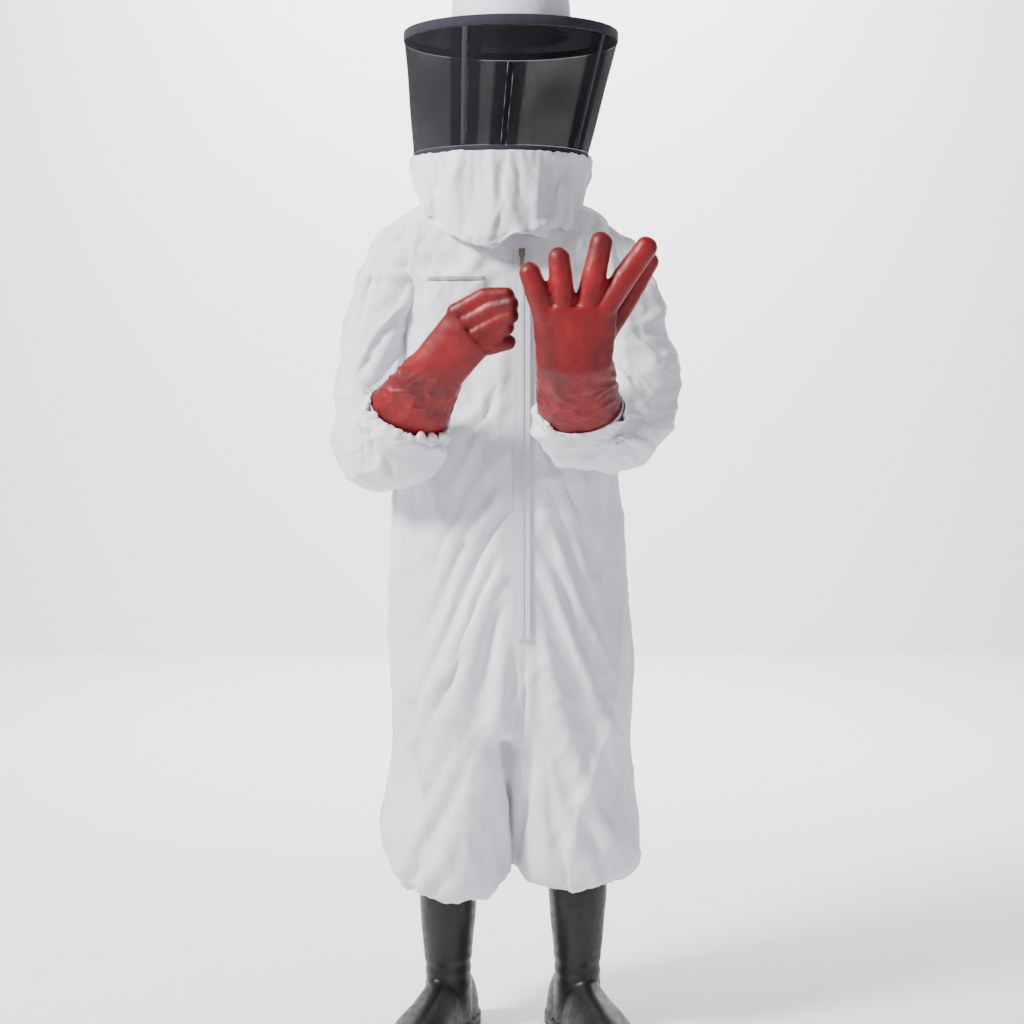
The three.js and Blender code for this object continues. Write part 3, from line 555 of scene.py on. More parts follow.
def make_body(outset, voxel):
    torso = tube_piece("torso", level_rings(TORSO, 60, 72, outset), COTTON, caps=True)
    right = tube_piece("right", level_rings(LEG_RIGHT, 30, 48, outset, 2.15), COTTON, caps=True)
    left = tube_piece("left", level_rings(LEG_LEFT, 30, 48, outset, 2.15), COTTON, caps=True)
    body = joined("coverall_body", [torso, right, left])
    outward(body)
    modify(body, "REMESH", mode="VOXEL", voxel_size=voxel)
    modify(body, "SMOOTH", factor=0.5, iterations=6)
    clear_of_arms(body, (4 + outset) * MM)
    return body


def hem_below(point):
    """The height of the hem on the leg that a point belongs to, in millimetres."""
    return RIGHT_HEM_Z if point.x < NECK.x + LEG_SPLIT_X * MM else LEFT_HEM_Z


def in_body_range(point):
    return point.z <= NECK.z - 15 * MM and point.z > (hem_below(point) + 6) * MM


def body_pin(point):
    """Holds the neck, the two shoulders where the sleeves are set in, and the hems."""
    at_hem = 1.0 - (point.z - (hem_below(point) + 12) * MM) / (10 * MM)
    at_neck = 1.0 - (1412 * MM - point.z) / (20 * MM)
    weight = max(at_hem, at_neck)
    for side in (-1, 1):
        set_in = Vector((NECK.x + side * 160 * MM, NECK.y, 1315 * MM))
        gap = point - set_in
        reach = math.hypot(gap.y / 88, gap.z / 78) / MM
        if abs(gap.x) < 60 * MM and reach < 1.0:
            weight = max(weight, 1.0)
    return max(weight, 0.0)


ZIP_X = 30
ZIP_TOP_Z = 1352
ZIP_BOTTOM_Z = 712


def zip_strip(point):
    """The strip behind the front zip is stiff, so it keeps its line."""
    x = (point.x - NECK.x) / MM
    if point.y > NECK.y or not ZIP_BOTTOM_Z - 20 < point.z / MM < ZIP_TOP_Z + 30:
        return 0.0
    return min(max((36 - abs(x - ZIP_X)) / 18, 0.0), 1.0)


FRAMES = 30
body = make_body(0.0, 10.5 * MM)
open_ends(body, in_body_range)
keep_rest(body)
dummy = make_body(-16.0, 12 * MM)
dummy.name = "dummy_body"


# ---------------------------------------------------------------- sleeves
def end_pins(piece, rows, columns, first_rows, last_rows):
    """Holds a tube of cloth by its first rows and its last rows."""
    at = [i // columns for i in range(len(piece.data.vertices))]
    pin(piece, [max(1.0 - row / first_rows, 1.0 - (rows - row) / last_rows, 0.0) for row in at])


def make_sleeve(side, stops):
    rows, columns = 74, 60
    rings = arm_rings(stops, rows, columns, 0.0)
    sleeve = tube_piece("sleeve_" + side, rings, COTTON)
    count = len(sleeve.data.vertices)
    keep_values(sleeve, "along", [(i // columns) / rows for i in range(count)])
    keep_values(sleeve, "turn", [(i % columns) / columns for i in range(count)])
    end_pins(sleeve, rows, columns, 5, 2)
    keep_rest(sleeve)
    arm = tube_piece("dummy_arm_" + side, arm_rings(stops, 40, 24, -15.0), COTTON, caps=True)
    outward(arm)
    return sleeve, arm


sleeve_right, arm_right = make_sleeve("right", ARM_RIGHT)
sleeve_left, arm_left = make_sleeve("left", ARM_LEFT)


# ---------------------------------------------------------------- hood skirt
# Each stop is the radius and height down the front of the skirt, from the neck zip up to the hoop.
SKIRT = [
    (101, 1457), (122, 1457), (141, 1429), (153, 1390), (164, 1366), (174, 1374),
    (177, 1410), (168, 1452), (155, 1484), (147, 1501),
]
SKIRT_BACK = [
    (101, 1457), (107, 1462), (113, 1467), (119, 1472), (125, 1477), (130, 1482),
    (135, 1487), (139, 1492), (143, 1497), (147, 1501),
]


def skirt_point(turn, t, outset=0.0):
    """The skirt slumps into a fold over the chest and runs straight behind the neck."""
    angle = turn * 2 * math.pi
    front = ((1 - math.sin(angle)) / 2) ** 2.0
    r1, z1 = curve_through(SKIRT, t)
    r2, z2 = curve_through(SKIRT_BACK, t)
    radius = r2 + (r1 - r2) * front + outset
    height = z2 + (z1 - z2) * front
    return place(-5 * t + radius * math.cos(angle), radius * math.sin(angle), height)


def make_skirt():
    rows, columns = 40, 132
    rings = [[skirt_point(i / columns, row / rows) for i in range(columns)] for row in range(rows + 1)]
    skirt = tube_piece("hood_skirt_cloth", rings, COTTON)
    keep_rest(skirt)
    end_pins(skirt, rows, columns, 3, 3)
    return skirt


hood_skirt = make_skirt()

# ---------------------------------------------------------------- let the cloth settle
EXTRA_BODY = 0.07
EXTRA_SLEEVE = 0.09
EXTRA_SKIRT = 0.07
# Square metres of flat cloth: the worn form's area, with the share of ease above both ways.
CUT_SLEEVE_RIGHT = 0.220 * (1 + EXTRA_SLEEVE) ** 2
CUT_SLEEVE_LEFT = 0.224 * (1 + EXTRA_SLEEVE) ** 2
pin(body, [max(body_pin(vertex.co), zip_strip(vertex.co)) for vertex in body.data.vertices])
colliders = [dummy, arm_right, arm_left]
for collider in colliders:
    as_collider(collider, 0.006)
add_cloth(body, EXTRA_BODY, FRAMES)
add_cloth(sleeve_right, EXTRA_SLEEVE, FRAMES)
add_cloth(sleeve_left, EXTRA_SLEEVE, FRAMES)
add_cloth(hood_skirt, EXTRA_SKIRT, FRAMES)
run_cloth([body, sleeve_right, sleeve_left, hood_skirt], colliders, FRAMES)


def limit_drift(piece, cap):
    """Keeps each point within cap of where it lay before the cloth moved."""
    rest = piece.data.attributes["rest"].data
    for vertex, start in zip(piece.data.vertices, rest):
        home = Vector(start.vector) + NECK
        drift = vertex.co - home
        if drift.length > cap:
            vertex.co = home + drift * (cap / drift.length)


limit_drift(body, 30 * MM)
limit_drift(sleeve_right, 26 * MM)
limit_drift(sleeve_left, 26 * MM)
limit_drift(hood_skirt, 24 * MM)


def surface_tree(piece):
    work = bmesh.new()
    work.from_mesh(piece.data)
    tree = BVHTree.FromBMesh(work)
    work.free()
    return tree


def wrinkle(piece, size, rise, stretch=(1.0, 1.0, 1.0), seed=0.0):
    """Sharp-crested small creases, laid over the settled folds along each point's normal."""
    rest = piece.data.attributes["rest"].data
    moves = []
    for vertex, start in zip(piece.data.vertices, rest):
        x, y, z = start.vector
        loose = 1 - zip_strip(Vector(start.vector) + NECK) if piece == body else 1.0
        where = Vector((x * stretch[0], y * stretch[1], z * stretch[2])) / size
        swirl = noise.noise(where * 0.6 + Vector((seed, 3.1, 7.7)))
        ridge = 1 - abs(noise.noise(where + Vector((swirl, seed, swirl)) * 1.2)) * 2.4
        moves.append(vertex.normal * (max(ridge, 0.0) ** 2 * rise * loose))
    move_points(piece, moves)


def half_of(piece, name, wanted):
    """A copy of the piece that keeps only the faces whose rest place is wanted."""
    copy = piece.copy()
    copy.data = piece.data.copy()
    copy.name = name
    bpy.context.scene.collection.objects.link(copy)
    rest = [Vector(item.vector) for item in copy.data.attributes["rest"].data]
    with opened(copy) as work:
        lost = []
        for face in work.faces:
            middle = sum((rest[v.index] for v in face.verts), Vector()) / len(face.verts)
            if not wanted(middle):
                lost.append(face)
        bmesh.ops.delete(work, geom=lost, context="FACES")
    return copy


CLOTH_WALL = 0.9


def cloth_wall(piece):
    """Gives a single sheet of cloth its thickness, inwards."""
    modify(piece, "SOLIDIFY", thickness=CLOTH_WALL * MM, offset=-1.0, use_quality_normals=False)
    shade_smooth(piece)


def declare_cloth(piece, body_name, slot_name, nodes):
    finished(piece, body_name, slot_name, *nodes)


CUFF_RIGHT = {"at": (-150, -195, 1084), "along": (0.44, -0.69, 0.575)}
CUFF_LEFT = {"at": (118, -272, 1090), "along": (-0.16, -0.8, 0.58)}
CUFF_WIDE = 66
CUFF_DEEP = 46
ANKLE_RIGHT = (-97, 5)
ANKLE_LEFT = (127, 5)
GLOVE_ROOM = 1.045
SHAFT_ROOM = 58
NECK_TAB_LOW_Z = 1426.5
PULL_TOP_Z = 1369.5


def cuff_frame(cuff):
    middle = place(*cuff["at"])
    along = Vector(cuff["along"]).normalized()
    across = (Vector((1, 0, 0)) - along * along.x).normalized()
    return middle, along, across, along.cross(across)


def pleats(angle):
    """Small folds that only stand outwards, clear of what is inside."""
    return 1.5 + math.sin(23 * angle) + 0.5 * math.sin(37 * angle + 1.0)


def clear_of_gauntlet(piece, cuff):
    """Keeps a sleeve's end outside the glove that runs up inside it."""
    middle, along, across, up = cuff_frame(cuff)
    for vertex in piece.data.vertices:
        offset = vertex.co - middle
        depth = offset.dot(along) / MM
        if not -64 < depth < 8:
            continue
        x, y = offset.dot(across), offset.dot(up)
        reach = math.hypot(x / (CUFF_WIDE * MM), y / (CUFF_DEEP * MM))
        if 0 < reach < GLOVE_ROOM:
            vertex.co += (across * x + up * y) * (GLOVE_ROOM / reach - 1)


def clear_of_sliders(piece):
    """Keeps the cloth round the neck below the tabs that run round the neck zip."""
    for vertex in piece.data.vertices:
        reach = math.hypot(vertex.co.x - NECK.x, vertex.co.y - NECK.y)
        if reach < 125 * MM:
            vertex.co.z = min(vertex.co.z, NECK_TAB_LOW_Z * MM)


def lift_hem_of_skirt(piece, lowest):
    """Raises the skirt's underside where the zip pull swings up, and fades out to either side."""
    for vertex in piece.data.vertices:
        aside = abs((vertex.co.x - NECK.x) / MM - ZIP_X)
        share = 0.92 * min(max((46 - aside) / 32, 0.0), 1.0)
        drop = lowest * MM - vertex.co.z
        if drop > 0 and vertex.co.y < NECK.y:
            vertex.co.z += drop * share


def clear_of_shafts(piece):
    """Keeps the trouser ends outside the boots that run up inside them."""
    for ankle in (ANKLE_RIGHT, ANKLE_LEFT):
        for vertex in piece.data.vertices:
            x = (vertex.co.x - NECK.x) / MM - ankle[0]
            y = (vertex.co.y - NECK.y) / MM - ankle[1]
            reach = math.hypot(x, y)
            if vertex.co.z < 400 * MM and 0 < reach < SHAFT_ROOM:
                vertex.co.x += x * (SHAFT_ROOM / reach - 1) * MM
                vertex.co.y += y * (SHAFT_ROOM / reach - 1) * MM


def gather_hems(piece):
    """Draws the legs' lower edges into small upright pleats above the elastic."""
    rest = piece.data.attributes["rest"].data
    moves = []
    for vertex, start in zip(piece.data.vertices, rest):
        x, y, _ = start.vector
        height = (start.vector[2] + NECK.z) / MM
        right = x < LEG_SPLIT_X * MM
        above = height - (RIGHT_HEM_Z if right else LEFT_HEM_Z)
        leg_x = (-100 if right else 128) * MM
        fade = math.exp(-max(above - 14, 0) / 34) * min(max(above / 12, 0), 1)
        moves.append(vertex.normal * (pleats(math.atan2(y, x - leg_x)) * 1.7 * fade * MM))
    move_points(piece, moves)


def gather_cuff(piece):
    """Draws a sleeve's end into small pleats above its elastic."""
    along = piece.data.attributes["along"].data
    turn = piece.data.attributes["turn"].data
    moves = []
    for vertex, share, around in zip(piece.data.vertices, along, turn):
        fade = math.exp(-max(0.965 - share.value, 0) / 0.045) * min((1 - share.value) / 0.02, 1)
        moves.append(vertex.normal * (pleats(2 * math.pi * around.value) * 1.2 * max(fade, 0) * MM))
    move_points(piece, moves)


modify(body, "SUBSURF", levels=1)
wrinkle(body, 0.15, 10 * MM, (1.0, 1.0, 0.5), 1.7)
wrinkle(body, 0.06, 3 * MM, (1.0, 1.0, 0.7), 4.2)
gather_hems(body)
clear_of_shafts(body)
clear_of_sliders(body)
clear_of_arms(body, 3 * MM)
coverall_front = half_of(body, "coverall_front", lambda rest: rest.y < 0)
coverall_back = half_of(body, "coverall_back", lambda rest: rest.y >= 0)
bpy.data.objects.remove(body, do_unlink=True)
cloth_wall(coverall_front)
cloth_wall(coverall_back)
declare_cloth(
    coverall_front, "coverall", "cotton_white",
    ["torso_front_right", "torso_front_left", "leg_right_front", "leg_left_front"])
declare_cloth(
    coverall_back, "coverall", "cotton_white", ["torso_back", "leg_right_back", "leg_left_back"])
for sleeve, side, cut in ((sleeve_right, "right", CUT_SLEEVE_RIGHT), (sleeve_left, "left", CUT_SLEEVE_LEFT)):
    modify(sleeve, "SUBSURF", levels=1)
    tilt = 1 if side == "right" else -1
    wrinkle(sleeve, 0.095, 10 * MM, (0.75, 0.8, 1.25), 2.0 + tilt)
    wrinkle(sleeve, 0.04, 3 * MM, (0.7, 0.8, 1.3), 5.0 + tilt)
    gather_cuff(sleeve)
    clear_of_gauntlet(sleeve, CUFF_RIGHT if side == "right" else CUFF_LEFT)
    cloth_wall(sleeve)
    declare_cloth(
        sleeve, "coverall", "cotton_white", [f"sleeve_{side}_upper", f"sleeve_{side}_lower"])
modify(hood_skirt, "SUBSURF", levels=1)
wrinkle(hood_skirt, 0.075, 7 * MM, (1.0, 1.0, 0.9), 8.0)
wrinkle(hood_skirt, 0.03, 2 * MM, (1.0, 1.0, 0.6), 3.0)
lift_hem_of_skirt(hood_skirt, PULL_TOP_Z)
cloth_wall(hood_skirt)
declare_cloth(
    hood_skirt, "hood", "cotton_white", ["hood_skirt"])


# ---------------------------------------------------------------- hat
HAT_X = 12
BRIM_Z = 1706
CROWN = [
    (99, 0), (99, 18), (99, 36), (97, 56), (90, 74), (80, 89), (69, 101), (54, 107.5), (39, 110.3),
    (20, 111.6), (2, 112),
]


def ring_at(x, y, z, radius, count, wave=0.0, waves=0, start=0.0):
    ring = []
    for i in range(count):
        angle = start + 2 * math.pi * i / count
        r = radius + wave * math.sin(waves * angle)
        ring.append(place(x + r * math.cos(angle), y + r * math.sin(angle), z))
    return ring


def make_crown():
    levels, count = 44, 96
    rings = []
    for step in range(levels + 1):
        share = step / levels
        r, z = curve_through(CROWN, share)
        bulge = 3.0 * math.exp(-((share - 0.62) / 0.05) ** 2)
        rings.append(ring_at(HAT_X, 0, BRIM_Z + 3.3 + z, r + bulge * 0.5, count, 0.5, 6, 0.4))
    crown = tube_piece("hat_crown_cloth", rings, HAT_CLOTH)
    top = levels * count
    with opened(crown) as work:
        middle = work.verts.new(place(HAT_X, 0, BRIM_Z + 115.4))
        work.verts.ensure_lookup_table()
        for i in range(count):
            work.faces.new((work.verts[top + i], work.verts[top + (i + 1) % count], middle))
    modify(crown, "SOLIDIFY", thickness=2 * MM, offset=-1.0)
    modify(crown, "SUBSURF", levels=1)
    shade_smooth(crown)
    return finished(crown, "hood", "straw_white", "hat_crown")


make_crown()


def revolve(name, profile, material, count, x=HAT_X, wave=0.0, waves=0):
    """Turns a closed profile of radius and height about an upright line."""
    rings = [ring_at(x, 0, z, r, count, wave, waves) for r, z in profile]
    piece = tube_piece(name, rings, material)
    close_section(piece, count)
    return piece


def rounded(r1, z1, r2, z2, edge):
    """A rectangle with cut corners, as radius and height pairs."""
    return [
        (r1 + edge, z1), (r2 - edge, z1), (r2, z1 + edge), (r2, z2 - edge),
        (r2 - edge, z2), (r1 + edge, z2), (r1, z2 - edge), (r1, z1 + edge),
    ]


def height_of(node):
    """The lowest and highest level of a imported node, in millimetres."""
    low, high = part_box(node)
    return low[2] / MM, high[2] / MM


brim_low, brim_high = height_of("hat_brim")
BRIM_IN = 96
BRIM_RUN = 79.6
BRIM_ROWS = 24
BRIM_PROFILE = [(BRIM_IN, brim_low + 0.4)]
BRIM_PROFILE += [
    (BRIM_IN + BRIM_RUN * k / BRIM_ROWS, brim_low + 0.3 + 0.25 * (k % 2)) for k in range(1, BRIM_ROWS + 1)]
BRIM_PROFILE += [(175.8, brim_high - 0.6)]
BRIM_PROFILE += [
    (BRIM_IN + BRIM_RUN * k / BRIM_ROWS, brim_high - 0.3 - 0.25 * (k % 2)) for k in range(BRIM_ROWS, 0, -1)]
BRIM_PROFILE += [(BRIM_IN, brim_high - 0.5)]
brim = revolve("hat_brim_straw", BRIM_PROFILE, HAT_CLOTH, 128)
finished(brim, "hood", "straw_white", "hat_brim")

bind_low, bind_high = height_of("brim_binding")
binding = revolve(
    "brim_binding_tape", rounded(176.4, bind_low, 179.3, bind_high, 0.9), BINDING, 160,
    wave=0.25, waves=40)
finished(binding, "hood", "binding_navy", "brim_binding")
band_low, band_high = height_of("hat_sweatband")
# The sweatband takes the darker copy of the cotton: painted shade inside the hat.
sweatband = revolve(
    "hat_sweatband_cloth", rounded(93.4, band_low, 95.9, band_high, 0.7), COTTON_SHADED, 120,
    wave=0.3, waves=24)
finished(sweatband, "hood", "cotton_white", "hat_sweatband")
hoop_low, hoop_high = height_of("veil_bottom_hoop")
hoop = revolve(
    "veil_hoop_binding", rounded(144.4, hoop_low + 0.3, 147.4, hoop_high - 0.2, 1.1), BINDING, 140, x=-5,
    wave=0.3, waves=46)
finished(hoop, "hood", "binding_navy", "veil_bottom_hoop")

# ---------------------------------------------------------------- veil
VEIL_LOW = (1510.3, 146.6, -5)
VEIL_HIGH = (1694.0, 178.0, 12)
SEAM_RIGHT = -114
SEAM_LEFT = -33
SEAM_REAR = 90
SEAM_HALF = 1.7
VEIL_RADIUS = 163
VEIL_SLANT = 187


def veil_point(degrees, t, outset=0.0):
    angle = math.radians(degrees)
    z = VEIL_LOW[0] + (VEIL_HIGH[0] - VEIL_LOW[0]) * t
    radius = VEIL_LOW[1] + (VEIL_HIGH[1] - VEIL_LOW[1]) * t + outset
    x = VEIL_LOW[2] + (VEIL_HIGH[2] - VEIL_LOW[2]) * t
    return place(x + radius * math.cos(angle), radius * math.sin(angle), z)


def veil_panel(name, first, last, node):
    columns = max(int((last - first) / 1.8), 12)
    rows = 40
    points = []
    measures = []
    for row in range(rows + 1):
        for i in range(columns + 1):
            share = i / columns
            t = row / rows
            slack = math.sin(math.pi * t) * math.sin(math.pi * share)
            fold = noise.noise(Vector((first + share * 7.0, t * 1.4, 0.0)))
            outset = slack * (fold * 5.0 - 1.5)
            points.append(veil_point(first + (last - first) * share, t, outset))
            measures.append(
                ((last - first) * share * math.radians(1) * VEIL_RADIUS * MM, t * VEIL_SLANT * MM))
    piece = new_piece(name, points, grid_faces(columns, rows, False), NET)
    uv = piece.data.uv_layers.new(name="UVMap")
    for loop in piece.data.loops:
        uv.data[loop.index].uv = measures[loop.vertex_index]
    wide = (last - first) * math.radians(1) * VEIL_RADIUS * MM
    keep_values(piece, "side", [min(u, wide - u) for u, _ in measures])
    finished(piece, "hood", "net_black", node)


PANELS = (
    ("veil_right", SEAM_REAR - 360, SEAM_RIGHT), ("veil_front", SEAM_RIGHT, SEAM_LEFT),
    ("veil_left", SEAM_LEFT, SEAM_REAR),
)
for name, first, last in PANELS:
    veil_panel(name + "_net", first + SEAM_HALF + 0.1, last - SEAM_HALF - 0.1, name)


def veil_tape(name, degrees, node):
    """A double fold of binding over each upright seam of the veil."""
    rings = []
    for row in range(33):
        t = row / 32
        wobble = 0.35 * noise.noise(Vector((degrees, t * 9.0, 0.0)))
        section = (
            (degrees - SEAM_HALF, -0.2), (degrees - SEAM_HALF, 1.1), (degrees - 0.2, 1.4),
            (degrees + 0.2, 1.4), (degrees + SEAM_HALF, 1.1), (degrees + SEAM_HALF, -0.2))
        rings.append([veil_point(turn + wobble, t, outset) for turn, outset in section])
    piece = tube_piece(name, rings, BINDING, caps=True)
    outward(piece)
    finished(piece, "hood", "binding_navy", node)


veil_tape("veil_tape_front_right", SEAM_RIGHT, "veil_seam_front_right")
veil_tape("veil_tape_front_left", SEAM_LEFT, "veil_seam_front_left")
veil_tape("veil_tape_rear", SEAM_REAR, "veil_seam_rear")


def net_ring(name, node):
    low, high = height_of(node)
    level = (low + high) / 2
    columns, rows = 120, 10
    rings = []
    for row in range(rows + 1):
        radius = 100.6 + 75.0 * row / rows
        sag = 0.4 * math.sin(math.pi * row / rows)
        rings.append(ring_at(HAT_X, 0, level + sag, radius, columns))
    piece = tube_piece(name, rings, NET)
    uv = piece.data.uv_layers.new(name="UVMap")
    for loop in piece.data.loops:
        point = piece.data.vertices[loop.vertex_index].co
        uv.data[loop.index].uv = (point.x - NECK.x, point.y - NECK.y)
    keep_values(piece, "side", [1.0] * len(piece.data.vertices))
    finished(piece, "hood", "net_black", node)


net_ring("veil_top_net", "veil_top_panel")


# ---------------------------------------------------------------- moulded pieces
def closed_tube(name, rings, material):
    piece = tube_piece(name, rings, material, caps=True)
    outward(piece)
    return piece


def capsule(name, first, last, r_first, r_last, material):
    """A rounded limb between two points given in millimetres."""
    a, b = place(*first), place(*last)
    along = (b - a).normalized()
    across = along.orthogonal().normalized()
    up = along.cross(across)

    def cap_ring(end, outwards, radius, lean):
        wide = math.cos(lean) * radius
        return oval(end + outwards * (math.sin(lean) * radius * MM), across, up, wide, wide, 24)

    leans = [math.pi / 2 * (1 - (k + 0.15) / 5) for k in range(5)]
    rings = [cap_ring(a, -along, r_first, lean) for lean in leans]
    rings += [cap_ring(b, along, r_last, lean) for lean in reversed(leans)]
    return closed_tube(name, rings, material)


def hull_of(name, rings, material):
    """The smooth solid that is stretched tight over a few rings."""
    work = bmesh.new()
    for ring in rings:
        for point in ring:
            work.verts.new(point)
    bmesh.ops.convex_hull(work, input=work.verts)
    loose = [vertex for vertex in work.verts if not vertex.link_faces]
    bmesh.ops.delete(work, geom=loose, context="VERTS")
    mesh = bpy.data.meshes.new(name)
    work.to_mesh(mesh)
    work.free()
    piece = bpy.data.objects.new(name, mesh)
    bpy.context.scene.collection.objects.link(piece)
    mesh.materials.append(material)
    return piece


HAND_RIGHT = {
    "wrist": ((-98, -266, 1156), 44, 30, (-0.75, -0.1, 0.65), (0.35, 0.8, 0.48)),
    "knuckles": ((-50, -300, 1212), 46, 20, (-0.6, 0, 0.8), (0.3, 0.92, 0.22)),
    "fingers": [
        [(-72, -300, 1238, 15), (-28, -310, 1262, 14), (5, -318, 1263, 13)],
        [(-58, -302, 1222, 15), (-14, -314, 1244, 14), (12, -322, 1249, 13)],
        [(-46, -302, 1202, 15), (-8, -312, 1224, 14), (12, -320, 1232, 13)],
        [(-40, -298, 1184, 14), (-12, -304, 1202, 13), (6, -312, 1214, 12)],
        [(-62, -288, 1180, 16), (-18, -286, 1186, 14), (8, -286, 1192, 12.5)],
    ],
}
HAND_LEFT = {
    "wrist": ((107, -372, 1165), 58, 32, (1, 0, 0), (0, 0.7, 0.7)),
    "knuckles": ((107, -396, 1244), 64, 21, (1, 0, 0), (0, 1, 0.2)),
    "fingers": [
        [(61, -394, 1236, 19), (50, -402, 1266, 18.5), (40, -404, 1292, 17)],
        [(90, -396, 1244, 19), (86, -406, 1280, 19), (83, -408, 1313, 17.5)],
        [(124, -396, 1244, 19), (135, -406, 1290, 19), (145, -408, 1336, 17.5)],
        [(150, -394, 1240, 19), (180, -402, 1286, 19), (211, -404, 1329, 17.5)],
        [(146, -372, 1196, 20), (190, -346, 1262, 18), (219, -336, 1312, 17)],
    ],
}


def hand_ring(spec):
    at, wide, deep, wide_way, deep_way = spec
    return oval(place(*at), Vector(wide_way).normalized(), Vector(deep_way).normalized(), wide, deep, 36)


def make_glove(side, cuff, hand, seed):
    middle, along, across, up = cuff_frame(cuff)
    back = [oval(middle - along * (d * MM), across, up, CUFF_WIDE, CUFF_DEEP, 48) for d in (34, 0, -1)]
    wrist, knuckles = hand_ring(hand["wrist"]), hand_ring(hand["knuckles"])
    parts = [
        hull_of("tube", back, RED), hull_of("gauntlet", [back[1], wrist], RED),
        hull_of("palm", [wrist, knuckles], RED),
    ]
    for joints in hand["fingers"]:
        for (x1, y1, z1, r1), (x2, y2, z2, r2) in zip(joints, joints[1:]):
            parts.append(capsule("finger", (x1, y1, z1), (x2, y2, z2), r1, r2, RED))
    glove = joined(f"glove_{side}_rubber", parts)
    modify(glove, "REMESH", mode="VOXEL", voxel_size=2.6 * MM)
    modify(glove, "SMOOTH", factor=0.5, iterations=9)

    def crease(point):
        depth = (point - middle).dot(along) / MM
        slack = max(0.0, min((depth - 6) / 40, 1.0)) * max(0.0, min((130 - depth) / 50, 1.0))
        slack = slack * slack * (3 - 2 * slack)
        where = point / (26 * MM)
        swirl = noise.noise(where * 0.5 + Vector((seed, 0, 0)))
        ridge = 1 - abs(noise.noise(Vector((where.x * 0.7, where.y * 0.7, where.z * 1.3 + swirl)))) * 2.5
        grip = noise.noise(point / (11 * MM) + Vector((0, seed, 0)))
        return ((max(ridge, 0.0) ** 2 * 3.4 - 1.2) * slack + grip * 0.5) * MM

    push_out(glove, crease)
    open_ends(glove, lambda point: (point - middle).dot(along) > -30 * MM)
    modify(glove, "SOLIDIFY", thickness=2.0 * MM, offset=-1.0)
    shade_smooth(glove)
    finished(glove, f"glove_{side}", "rubber_red", f"glove_{side}_shell")


make_glove("right", CUFF_RIGHT, HAND_RIGHT, 1.3)
make_glove("left", CUFF_LEFT, HAND_LEFT, 6.1)

# ---------------------------------------------------------------- boots
FOOT = [
    (-84, 6, 40), (-82, 14, 66), (-72, 28, 86), (-40, 37, 108), (20, 38, 112), (80, 42, 92), (140, 47, 76),
    (180, 39, 66), (199, 24, 54), (206, 9, 40),
]
SHAFT = [(22, 39, 47), (70, 39, 48), (112, 38, 46), (150, 41, 48), (250, 50, 54), (385, 50, 54)]
FOOT_TURN = math.radians(22)
BAR_PITCH = 10.5
BAR_LONG = 7.4


def boot_place(ankle, sign, x, y, z):
    c, s = math.cos(sign * FOOT_TURN), math.sin(sign * FOOT_TURN)
    return place(ankle[0] + x * c - y * s, ankle[1] + x * s + y * c, z)


def foot_point(ankle, sign, share, angle):
    s, half, top = curve_through(FOOT, share)
    c, n = math.cos(angle), math.sin(angle)
    x = math.copysign(abs(c) ** 0.8, c) * half
    z = math.copysign(abs(n) ** 0.9, n) * top
    return boot_place(ankle, sign, x, -s, z)


def make_boot(side, ankle, sign):
    rings = []
    for row in range(49):
        rings.append([foot_point(ankle, sign, row / 48, 2 * math.pi * i / 40) for i in range(40)])
    vamp = closed_tube("foot", rings, BLACK)
    levels = []
    for row in range(41):
        z, wide, deep = curve_through(SHAFT, row / 40)
        levels.append([
            boot_place(ankle, sign, wide * math.cos(a), deep * math.sin(a), z)
            for a in (2 * math.pi * i / 40 for i in range(40))])
    boot = joined(f"boot_{side}_rubber", [vamp, closed_tube("shaft", levels, BLACK)])
    modify(boot, "REMESH", mode="VOXEL", voxel_size=3.6 * MM)
    modify(boot, "SMOOTH", factor=0.5, iterations=10)

    def ankle_folds(point):
        height = point.z / MM
        bend = math.exp(-((height - 118) / 26) ** 2)
        return (math.sin(height / 4.2) * 0.9 * bend + noise.noise(point / (45 * MM)) * 1.2) * MM

    push_out(boot, ankle_folds)
    for vertex in boot.data.vertices:
        vertex.co.z = max(vertex.co.z, 20.4 * MM)
    open_ends(boot, lambda point: point.z < 382 * MM)
    modify(boot, "SOLIDIFY", thickness=2.6 * MM, offset=-1.0)
    shade_smooth(boot)
    finished(boot, f"boot_{side}", "rubber_black", f"boot_{side}_upper")
    make_sole(side, ankle, sign)


def sole_outline(grow):
    right = []
    for k in range(37):
        s, half, _ = curve_through(FOOT, k / 36)
        right.append(((half + grow), -max(min(s, 204 + grow), -82 - grow)))
    return right + [(-x, y) for x, y in reversed(right)]


def make_sole(side, ankle, sign):
    """A welted rubber sole with a heel, an instep gap and bars of tread."""
    pieces = [closed_tube("slab", [
        [boot_place(ankle, sign, x, y, z) for x, y in sole_outline(grow)]
        for grow, z in ((2.0, 9.0), (3.0, 9.8), (3.0, 17.0), (2.2, 18.2), (2.2, 19.8))], BLACK)]
    for low, high in ((-84, -26), (34, 206)):
        steps = int((high - low) / BAR_PITCH)
        for k in range(steps):
            start = low + (high - low) * k / steps
            bar = bar_between(ankle, sign, start, start + BAR_LONG)
            if bar:
                pieces.append(bar)
    sole = joined(f"boot_{side}_tread", pieces)
    finished(sole, f"boot_{side}", "rubber_black", f"boot_{side}_sole")


def half_width(s):
    best = 0.0
    for k in range(120):
        place_s, half, _ = curve_through(FOOT, k / 119)
        if abs(place_s - s) < 3:
            best = max(best, half)
    return best


